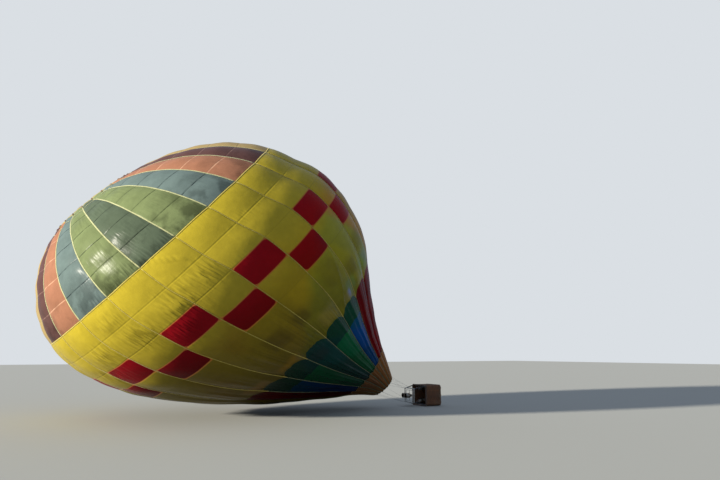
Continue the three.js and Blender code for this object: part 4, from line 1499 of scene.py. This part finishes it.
        # Lacing of the rim and of the scuff band: room beyond the wicker, stitch, heights and thickness
        for room, stitch, high, low, thick in ((0.018, 0.024, 1.070, 1.113, 0.0028),
                                               (0.016, 0.045, 0.150, 0.176, 0.0025)):
            points, _ = rounded_rectangle(self.x + room, self.y + room, self.corner, stitch)
            zigzag = np.where(np.arange(len(points)) % 2, high, low)
            parts.add(tube(np.column_stack([points, zigzag]), thick, 6, closed=True), 3)
        parts.build("basket_trim", [self.finishes[n] for n in ("hide", "hide", "wicker_cane", "thread")], "balloon")

    def build_rim(self) -> None:
        """Makes the suede rim, padded and drawn in by its lacing."""
        section = oval(*self.rim_section, 20, 2.8)
        points, out = rounded_rectangle(*self.rim_outline, 0.0125)
        drawn = 1 - 0.045 * np.abs(np.cos(np.arange(len(points)) * math.pi / 5)) ** 6
        ring = section[None] * drawn[:, None, None]
        flat = points[:, None] + out[:, None] * ring[..., :1]
        grid = np.concatenate([flat, ring[..., 1:] + (self.rim_low + RIM_TOP) / 2], 2)
        piece = Parts(laid).add((grid.reshape(-1, 3), [closed_faces(*grid.shape[:2])])).build(
            "padded_rim", [self.finishes["suede"]], "balloon", ("basket_rim",))

    def build_floor(self) -> None:
        """Makes the plywood floor and the runners with their skids and bolts."""
        parts = Parts(laid)
        points, out = rounded_rectangle(*self.floor_outline, 0.04)
        count = len(points)
        rings = [(0.004, 0.0500), (0.0, 0.0530), (0.0, 0.0770), (0.004, 0.0800)]
        grid = np.stack([np.column_stack([points - out * inset, np.full(count, z)]) for inset, z in rings])
        bottom, top = np.arange(count)[::-1][None], (np.arange(count) + 3 * count)[None]
        parts.add((grid.reshape(-1, 3), [grid_faces(4, count, True)[:, ::-1], bottom, top]), 0, smooth=False)
        parts.build("plywood_floor", [self.finishes["timber"]], "balloon", ("basket_floor",))
        for index in range(3):
            x = (index - 1) * self.runner_gap
            runner = Parts(laid).add(block(self.runner_size, (x, 0, 0.02585), 0.006), 0, smooth=False)
            runner.add(block((0.05, 1.40, 0.003), (x, 0, 0.0018), 0.0008), 1, smooth=False)
            for y in np.linspace(-0.62, 0.62, 5):
                runner.add(lathe([(0.009, 0.0001), (0.009, 0.004)], 6, (x, y)), 2, smooth=False)
            runner.build(f"timber_runner_{index + 1}", [self.finishes[n] for n in ("timber", "aluminium", "steel")],
                         "balloon", (f"runner_{index + 1}",))

    def build_tank(self, number: int, way: tuple[int, int]) -> None:
        """Makes one fuel tank: welded body, feet, collar, valve with a hand wheel, gauge and two straps.

        Args:
            number: the tank's number.
            way: the corner's signs in x and y.
        """
        at = (way[0] * self.tank_place[0], way[1] * self.tank_place[1])
        r, base = self.tank_radius, self.low
        # Radii as shares of the tank's, and heights
        body = [(0.0, 0.0), (0.76, 0.0), (0.80, 0.004), (0.80, 0.020), (0.90, 0.032), (0.975, 0.050), (0.995, 0.072),
                (0.985, 0.345), (0.997, 0.349), (0.997, 0.358), (0.985, 0.362), (0.995, 0.670), (0.975, 0.692),
                (0.92, 0.722), (0.78, 0.756), (0.50, 0.774), (0.20, 0.780), (0.0, 0.781)]
        parts = Parts(laid).add(lathe([(max(r * a, 0.0006), b) for a, b in body], 48, at, base), 0)
        collar = [(r * 0.54, 0.768), (r * 0.55, 0.858), (r * 0.535, 0.860), (r * 0.515, 0.858), (r * 0.505, 0.768),
                  (r * 0.54, 0.768)]
        parts.add(lathe(collar, 40, at, base), 0)
        for turn in range(4):
            angle = math.pi / 4 + turn * math.pi / 2
            place = (at[0] + r * 0.545 * math.cos(angle), at[1] + r * 0.545 * math.sin(angle), base + 0.818)
            parts.add(block((0.012, 0.030, 0.036), place, 0.005), 3, smooth=False)
        valve = [(0.017, 0.776), (0.017, 0.792), (0.011, 0.794), (0.011, 0.812), (0.015, 0.814), (0.015, 0.824),
                 (0.006, 0.826), (0.006, 0.834)]
        parts.add(lathe(valve, 12, at, base), 1)
        parts.add(tube(circle(0.026, base + 0.834, 24, at), 0.0045, 8, closed=True), 2)
        for a in (0, math.pi / 2):
            spoke = np.array([[-0.026, 0.0], [0.026, 0.0]]) @ np.array([[math.cos(a), math.sin(a)],
                                                                        [-math.sin(a), math.cos(a)]])
            parts.add(tube(np.column_stack([spoke + np.array(at), np.full(2, base + 0.834)]), 0.003, 6), 2)
        gauge = (at[0] + 0.045 * way[0], at[1] + 0.02)
        parts.add(lathe([(0.017, base + 0.776), (0.017, base + 0.790), (0.014, base + 0.792)], 16, gauge), 1)
        for z in (0.22, 0.56):
            strap = [(r + out, z + up) for out, up in ((0.0005, -0.022), (0.0035, -0.022), (0.0035, 0.022),
                                                       (0.0005, 0.022), (0.0005, -0.022))]
            parts.add(lathe(strap, 48, at, base), 3)
            inward = np.array([-way[0], -way[1]]) / math.sqrt(2)
            place = (*(np.array(at) + inward * (r + 0.004)), base + z)
            parts.add(block((0.026, 0.026, 0.052), place, 0.005), 4, smooth=False)
        names = ("aluminium", "brass", "red_paint", "strap", "steel")
        parts.build(f"fuel_cylinder_{number}", [self.finishes[n] for n in names], "balloon", (f"fuel_tank_{number}",))

    def build_upright(self, number: int, way: tuple[int, int]) -> None:
        """Makes a padded cover with its closing strip, gathered at both ends, and the sockets of its rod.

        Args:
            number: the upright's number.
            way: the corner's signs in x and y.
        """
        foot = np.array([way[0] * self.upright_foot[0], way[1] * self.upright_foot[1], RIM_TOP + 0.0003])
        head = np.array([way[0] * self.upright_head[0], way[1] * self.upright_head[1], FRAME_LOW - 0.0003])
        t = np.linspace(0, 1, 41)
        puffs = self.cover_radius - 0.0035 * np.abs(np.cos(t * math.pi * 5)) ** 8
        puffs = np.where((t < 0.03) | (t > 0.97), 0.024, puffs)
        cover = Parts(laid).add(tube(foot + (head - foot) * t[:, None], puffs, 16))
        piece = cover.build(f"padded_cover_{number}", [self.finishes["cover"]], "balloon", (f"upright_{number}",))
        trim = Parts(laid)
        side = np.cross(head - foot, [0, 0, 1.0])
        side *= self.cover_radius / np.linalg.norm(side)
        trim.add(tube(foot + side + (head - foot) * t[2:-2, None], 0.004, 6, flat=2.0), 0)
        for share in (0.1, 0.5, 0.9):
            ring = foot + (head - foot) * np.array([share - 0.012, share + 0.012])[:, None]
            trim.add(tube(ring, 0.0315, 20), 0)
        trim.add(tube(np.array([head - (head - foot) * 0.03, head]), 0.0285, 20), 1)
        trim.add(tube(np.array([foot, foot + (head - foot) * 0.03]), 0.0285, 20), 1)
        trim.build(f"cover_trim_{number}", [self.finishes["strap"], self.finishes["steel"]], "balloon")

    def build(self) -> None:
        """Makes the basket's pieces."""
        self.build_weave(True)
        self.build_weave(False)
        self.build_trim()
        self.build_rim()
        self.build_floor()
        for number, way in enumerate(CORNERS, 1):
            self.build_tank(number, way)
            self.build_upright(number, way)
        log.info("basket done")


@dataclass
class Burner:
    """Load frame, gimbal and twin burners."""

    finishes: Finishes
    can_radius: float = 0.145
    can_low: float = 0.06             # heights above the pivot
    can_top: float = 0.39
    coil_radius: float = 0.118
    coil_pitch: float = 0.034
    jet_ring: tuple[float, float] = (0.070, 0.112)      # radius, and height above the block
    frame_size: tuple[float, float, float, float] = (0.90, 1.10, 0.07, 0.05)    # x, y, corner and tube's width
    gimbal_size: tuple[float, float, float, float] = (0.66, 0.80, 0.06, 0.03)

    def frame_form(self, x: float, y: float, corner: float, width: float) -> Form:
        """Rounded-square tube bent to a rounded rectangle of outer size x by y, at the pivot's height."""
        section = oval(width, width, 20, 4.0) + np.array([0.0, PIVOT])
        return band(x - width, y - width, corner - width / 2, section, 0.02)

    def build_frame(self) -> None:
        """Makes the load frame with sockets for the uprights and lugs for the links."""
        parts = Parts(laid).add(self.frame_form(*self.frame_size), 0)
        for way in CORNERS:
            x, y = way[0] * FRAME_CORNER[0], way[1] * FRAME_CORNER[1]
            parts.add(lathe([(0.020, 1.899), (0.020, 1.9006), (0.012, 1.9006)], 16, (x, y)), 1)
            # Weld bead and gusset in each corner
            for size, inward in (((0.09, 0.012, 0.03), (0.06, 0.006)), ((0.012, 0.09, 0.03), (0.006, 0.06))):
                place = (x - way[0] * inward[0], y - way[1] * inward[1], PIVOT)
                parts.add(block(size, place, 0.004), 0, smooth=False)
        for side in (-1, 1):
            points, faces = lathe([(0.024, -0.010), (0.024, 0.010)], 20)
            turned = np.stack([points[:, 0], side * 0.514 + points[:, 2], points[:, 1] + PIVOT], 1)
            parts.add((turned, [f[:, ::-1] for f in faces]), 1)
        parts.build("load_frame", [self.finishes["steel"], self.finishes["dark_steel"]], "balloon", ("burner_frame",))

    def build_gimbal(self) -> None:
        """Makes the gimbal ring with its pins and friction knobs."""
        parts = Parts(laid).add(self.frame_form(*self.gimbal_size), 0)
        for side in (-1, 1):
            pin = np.array([[0, side * 0.385, PIVOT], [0, side * 0.4995, PIVOT]])
            parts.add(tube(pin, 0.012, 16), 1)
            parts.add(tube(pin[:1] + np.array([[0, side * 0.012, 0], [0, side * 0.045, 0]]), 0.022, 20), 1)
        parts.build("gimbal_ring", [self.finishes["steel"], self.finishes["dark_steel"]], "gimbal_ring", ("gimbal",))

    def build_block(self) -> None:
        """Makes the burner block: valves, levers with grips, pilot knobs, gauges, necks and pins."""
        parts = Parts(laid).add(block((0.15, 0.48, 0.06), (0, 0, PIVOT), 0.008), 0, smooth=False)
        for side in (-1, 1):
            parts.add(tube(np.array([[side * 0.06, 0, PIVOT], [side * 0.2995, 0, PIVOT]]), 0.012, 16), 1)
            y = side * BURNER_ASIDE
            valve = [(0.020, PIVOT - 0.130), (0.028, PIVOT - 0.126), (0.028, PIVOT - 0.085), (0.022, PIVOT - 0.080),
                     (0.022, PIVOT - 0.050), (0.028, PIVOT - 0.046), (0.028, PIVOT - 0.025)]
            parts.add(lathe(valve, 24, (0, y)), 1)
            parts.add(block((0.075, 0.024, 0.014), (0.0225, y, PIVOT - 0.112), 0.004), 1, smooth=False)
            parts.add(tube(np.array([[0.045, y, PIVOT - 0.112], [0.134, y, PIVOT - 0.112]]), 0.0105, 14), 2)
            neck = [(0.040, PIVOT + 0.028), (0.040, PIVOT + 0.040), (0.034, PIVOT + 0.042), (0.034, PIVOT + 0.060)]
            parts.add(lathe(neck, 28, (0, y)), 0)
            pilot = [(0.011, PIVOT - 0.070), (0.013, PIVOT - 0.066), (0.013, PIVOT - 0.030)]
            parts.add(lathe(pilot, 14, (-0.045, y)), 3)
            gauge = [(0.020, PIVOT - 0.048), (0.024, PIVOT - 0.046), (0.024, PIVOT - 0.030)]
            parts.add(lathe(gauge, 24, (0.040, side * 0.085)), 1)
            parts.add(lathe([(0.019, PIVOT - 0.0490), (0.019, PIVOT - 0.0479)], 24, (0.040, side * 0.085)), 4)
            pipe = np.array([[-0.045, y, PIVOT - 0.05], [-0.055, y - side * 0.03, PIVOT - 0.052],
                             [-0.055, y - side * 0.07, PIVOT - 0.045], [-0.05, y - side * 0.09, PIVOT - 0.028]])
            parts.add(tube(pipe, 0.004, 8), 3)
            for x in (-0.055, 0.055):
                for dy in (-0.05, 0.05):
                    parts.add(lathe([(0.007, PIVOT + 0.029), (0.007, PIVOT + 0.034)], 6, (x, y + dy)), 1, smooth=False)
        parts.add(block((0.10, 0.06, 0.012), (0, 0, PIVOT - 0.035), 0.003), 3, smooth=False)
        names = ("dark_steel", "steel", "red_paint", "brass", "aluminium")
        parts.build("burner_body", [self.finishes[n] for n in names], "burners", ("burner_block",))

    def build_can(self, number: int, side: int) -> None:
        """Makes one flame can, with its coil and jet ring.

        Args:
            number: the burner's number.
            side: its sign in y.
        """
        r, at, base = self.can_radius, (0.0, side * BURNER_ASIDE), PIVOT + 0.0003
        low, top = self.can_low, self.can_top
        # Radii as shares of the can's, and heights, up the outside and down the inside
        wall = [(0.0, low), (0.70, low), (0.76, low + 0.006), (0.985, low + 0.066), (0.99, low + 0.074),
                (0.985, 0.180), (0.998, 0.184), (0.998, 0.190), (0.985, 0.194), (0.985, 0.300), (0.998, 0.304),
                (0.998, 0.310), (0.985, 0.314), (0.985, top - 0.008), (0.998, top - 0.005), (0.99, top),
                (0.965, top - 0.002), (0.960, top - 0.010), (0.960, low + 0.074), (0.72, low + 0.0065),
                (0.0, low + 0.006)]
        can = Parts(laid).add(lathe([(max(r * a, 0.0006), b) for a, b in wall], 56, at, base), 0)
        for row, z in enumerate((0.150, 0.340)):
            for k in range(18):
                angle = (k + row / 2) * math.pi / 9
                outward = np.array([math.cos(angle), math.sin(angle), 0.0])
                spot = np.array([*at, base + z]) + r * 0.983 * outward
                can.add(tube(np.array([spot - outward * 0.001, spot + outward * 0.0006]), 0.008, 10), 1, smooth=False)
        can.build(f"flame_can_{number}", [self.finishes["can_steel"], self.finishes["black_rubber"]], "burners",
                  (f"burner_can_{number}",))
        turns = np.linspace(0, 4, 160)
        angle = turns * 2 * math.pi
        start = base + 0.130
        helix = np.column_stack([at[0] + self.coil_radius * np.cos(angle), at[1] + self.coil_radius * np.sin(angle),
                                 start + turns * self.coil_pitch])
        riser_x = self.coil_radius * 0.72
        feed = np.array([[riser_x, 0, base + 0.0663], [riser_x, 0, start - 0.018], [riser_x + 0.008, 0, start - 0.006],
                         [self.coil_radius - 0.006, 0.0, start - 0.001]]) + np.array([0, at[1], 0])
        coil = Parts(laid).add(tube(helix, 0.0098, 10), 0)
        coil.add(tube(feed, 0.0095, 10), 0)
        jet, jet_height = self.jet_ring[0], base + self.jet_ring[1]
        coil.add(tube(circle(jet, jet_height, 36, at), 0.008, 10, closed=True), 0)
        coil.add(tube(np.array([[jet, at[1], jet_height], [riser_x, at[1], jet_height]]), 0.007, 8), 0)
        for x, y, _ in circle(jet, jet_height, 12, at):
            coil.add(lathe([(0.004, 0.118), (0.0032, 0.128)], 8, (x, y), base), 1)
        coil.build(f"vapour_coil_{number}", [self.finishes["coil_steel"], self.finishes["brass"]], "burners",
                   (f"burner_coil_{number}",))

    def build(self) -> None:
        """Makes the burner's pieces."""
        self.build_frame()
        self.build_gimbal()
        self.build_block()
        for number, side in ((1, -1), (2, 1)):
            self.build_can(number, side)
        log.info("burner done")


@dataclass
class Rigging:
    """Flying wires from the skirt's edge to the snap links on the load frame."""

    envelope: Envelope
    finishes: Finishes
    wires: int = 12
    radius: float = 0.0036
    eye: float = 0.007
    link_eye: float = 1.978           # height in the basket's frame where the wires pull on a link

    def wire_start(self, angle: float) -> Array:
        """Place where a wire leaves the skirt's edge.

        Args:
            angle: angle round the mouth's ring.

        Returns:
            The point.
        """
        e = self.envelope
        edge, turn = np.array([MOUTH_EDGE]), np.array([angle])
        out = e.normal(edge, turn)[0]
        around = e.around(edge, turn)[0]
        onward = (e.ring_point(edge, turn) - e.ring_point(edge - 0.01, turn))[0]
        facing = np.cross(around / np.linalg.norm(around), out)
        facing *= np.sign(facing @ onward)
        return e.ring_point(edge, turn)[0] - out * SHELL / 2 + facing * (self.eye + 0.0006)

    def thimble(self, at: Array, towards: Array, size: float) -> Form:
        """Metal eye that a wire is turned round.

        Args:
            at: its middle.
            towards: the wire's direction.
            size: half its length.

        Returns:
            Points and faces.
        """
        side = np.cross(towards, [0.0, 0.3, 1.0])
        side /= np.linalg.norm(side)
        angle = np.linspace(0, 2 * math.pi, 16, endpoint=False)
        loop = at + np.cos(angle)[:, None] * towards * size + np.sin(angle)[:, None] * side * size * 0.62
        return tube(loop, size * 0.22, 6, closed=True)

    def link(self, way: tuple[int, int]) -> Parts:
        """Makes a snap link with its gate, standing on the frame's corner, in the basket's frame.

        Args:
            way: the corner's signs in x and y.

        Returns:
            Its forms.
        """
        x, y = way[0] * FRAME_CORNER[0], way[1] * FRAME_CORNER[1]
        angle = np.linspace(0, 2 * math.pi, 28, endpoint=False)
        shape = np.column_stack([np.full(28, x), y + 0.0145 * np.sign(np.cos(angle)) * np.abs(np.cos(angle)) ** 0.7,
                                 1.9450 + 0.0395 * np.sign(np.sin(angle)) * np.abs(np.sin(angle)) ** 0.8])
        parts = Parts().add(tube(shape, 0.0055, 10, closed=True), 0)
        sleeve = np.array([[x, y + 0.0145, 1.925], [x, y + 0.0145, 1.965]])
        return parts.add(tube(sleeve, 0.0085, 12), 0)

    def build(self) -> None:
        """Makes the wires corner by corner."""
        for number, way in enumerate(CORNERS, 1):
            link = self.link(way)
            parts = Parts()
            for points, (faces, slot, smooth) in zip(link.points, link.faces):
                parts.add((laid(points), [faces - faces.min()]), slot, smooth)
            eye = laid(np.array([[way[0] * FRAME_CORNER[0], way[1] * FRAME_CORNER[1], self.link_eye]]))[0]
            middle = math.atan2(way[0], way[1])
            for index in range(self.wires):
                angle = turn_angle(index * GORES / self.wires)
                apart = math.atan2(math.sin(angle - middle), math.cos(angle - middle))
                if not -math.pi / 4 <= apart < math.pi / 4:
                    continue
                start = self.wire_start(angle)
                along = (eye - start) / np.linalg.norm(eye - start)
                t = np.linspace(0, 1, 60)[:, None]
                parts.add(tube(start + (eye - start) * t, self.radius, 8, strands=6, pitch=0.05), 1)
                parts.add(self.thimble(start + along * 0.004, along, 0.010), 0)
                parts.add(self.thimble(eye - along * 0.010, along, 0.012), 0)
                for end, way_in in ((start, along), (eye, -along)):
                    parts.add(tube(np.array([end + way_in * 0.022, end + way_in * 0.060]), 0.0055, 8), 0)
            parts.build(f"stranded_wires_{number}", [self.finishes["steel"], self.finishes["wire"]], "balloon",
                        (f"flying_wires_{number}",))
        log.info("rigging done")


@dataclass
class Stage:
    """Pale floor, soft light and the camera."""

    camera_place: tuple[float, float, float] = (-10.009, -34.594, 3.285 - GROUND)
    heading: float = 27.836           # degrees from +Y towards +X
    rise: float = 9.935               # degrees above the level
    lens: float = 32.0
    floor_half: float = 160.0
    sun_energy: float = 9.5
    sun_width: float = 4.0            # degrees
    sun_colour: tuple[float, float, float] = (1.0, 0.93, 0.80)
    sky_strength: float = 0.50
    sky_colour: str = "cbdaf0"
    backdrop_colour: str = "dadfe4"
    floor_colour: str = "acada8"

    def build(self) -> None:
        """Makes the floor, the lights, the surroundings and the camera."""
        points = np.array([[-1, -1], [1, -1], [1, 1], [-1, 1]]) * self.floor_half
        mesh = bpy.data.meshes.new("floor")
        mesh.from_pydata([(x, y, -GROUND) for x, y in points], [], [(0, 1, 2, 3)])
        n = Nodes(bpy.data.materials.new("pale_floor"))
        matt = n.add("BsdfPrincipled", {"Base Color": srgb(self.floor_colour), "Roughness": 0.9})
        mesh.materials.append(n.finish(matt))
        floor = bpy.data.objects.new("floor", mesh)
        bpy.context.scene.collection.objects.link(floor)
        sun = bpy.data.objects.new("key", bpy.data.lights.new("key", "SUN"))
        sun.data.energy = self.sun_energy
        sun.data.angle = math.radians(self.sun_width)
        sun.data.color = self.sun_colour
        sun.rotation_euler = Vector(SUN_DIRECTION).to_track_quat("-Z", "Y").to_euler()
        bpy.context.scene.collection.objects.link(sun)
        # The camera sees a pale backdrop, while the cloth is lit by a weaker sky
        n = Nodes(bpy.data.worlds.new("surround"))
        sky = n.add("Background", {"Color": srgb(self.sky_colour), "Strength": self.sky_strength})
        backdrop = n.add("Background", {"Color": srgb(self.backdrop_colour)})
        seen = n.add("LightPath").outputs["Is Camera Ray"]
        n.add("OutputWorld", {"Surface": n.add("MixShader", (seen, sky, backdrop))})
        bpy.context.scene.world = n.owner
        camera = bpy.data.objects.new("camera", bpy.data.cameras.new("camera"))
        camera.data.lens = self.lens
        camera.data.sensor_width = 36.0
        camera.data.clip_end = 600.0
        camera.location = self.camera_place
        yaw, pitch = math.radians(self.heading), math.radians(self.rise)
        forward = Vector((math.sin(yaw) * math.cos(pitch), math.cos(yaw) * math.cos(pitch), math.sin(pitch)))
        camera.rotation_mode = "QUATERNION"
        camera.rotation_quaternion = forward.to_track_quat("-Z", "Y")
        bpy.context.scene.collection.objects.link(camera)
        bpy.context.scene.camera = camera
        bpy.context.scene.view_settings.view_transform = "Standard"


def main() -> None:
    """Builds the stage and each sub-assembly in order."""
    logging.basicConfig(level=logging.INFO, format="%(name)s %(message)s")
    Stage().build()
    finishes = Finishes()
    envelope = Envelope()
    envelope.build()
    Crown(envelope, finishes).build()
    Skirt(envelope, finishes).build()
    Basket(finishes).build()
    Burner(finishes).build()
    Rigging(envelope, finishes).build()


if __name__ == "__main__":
    main()
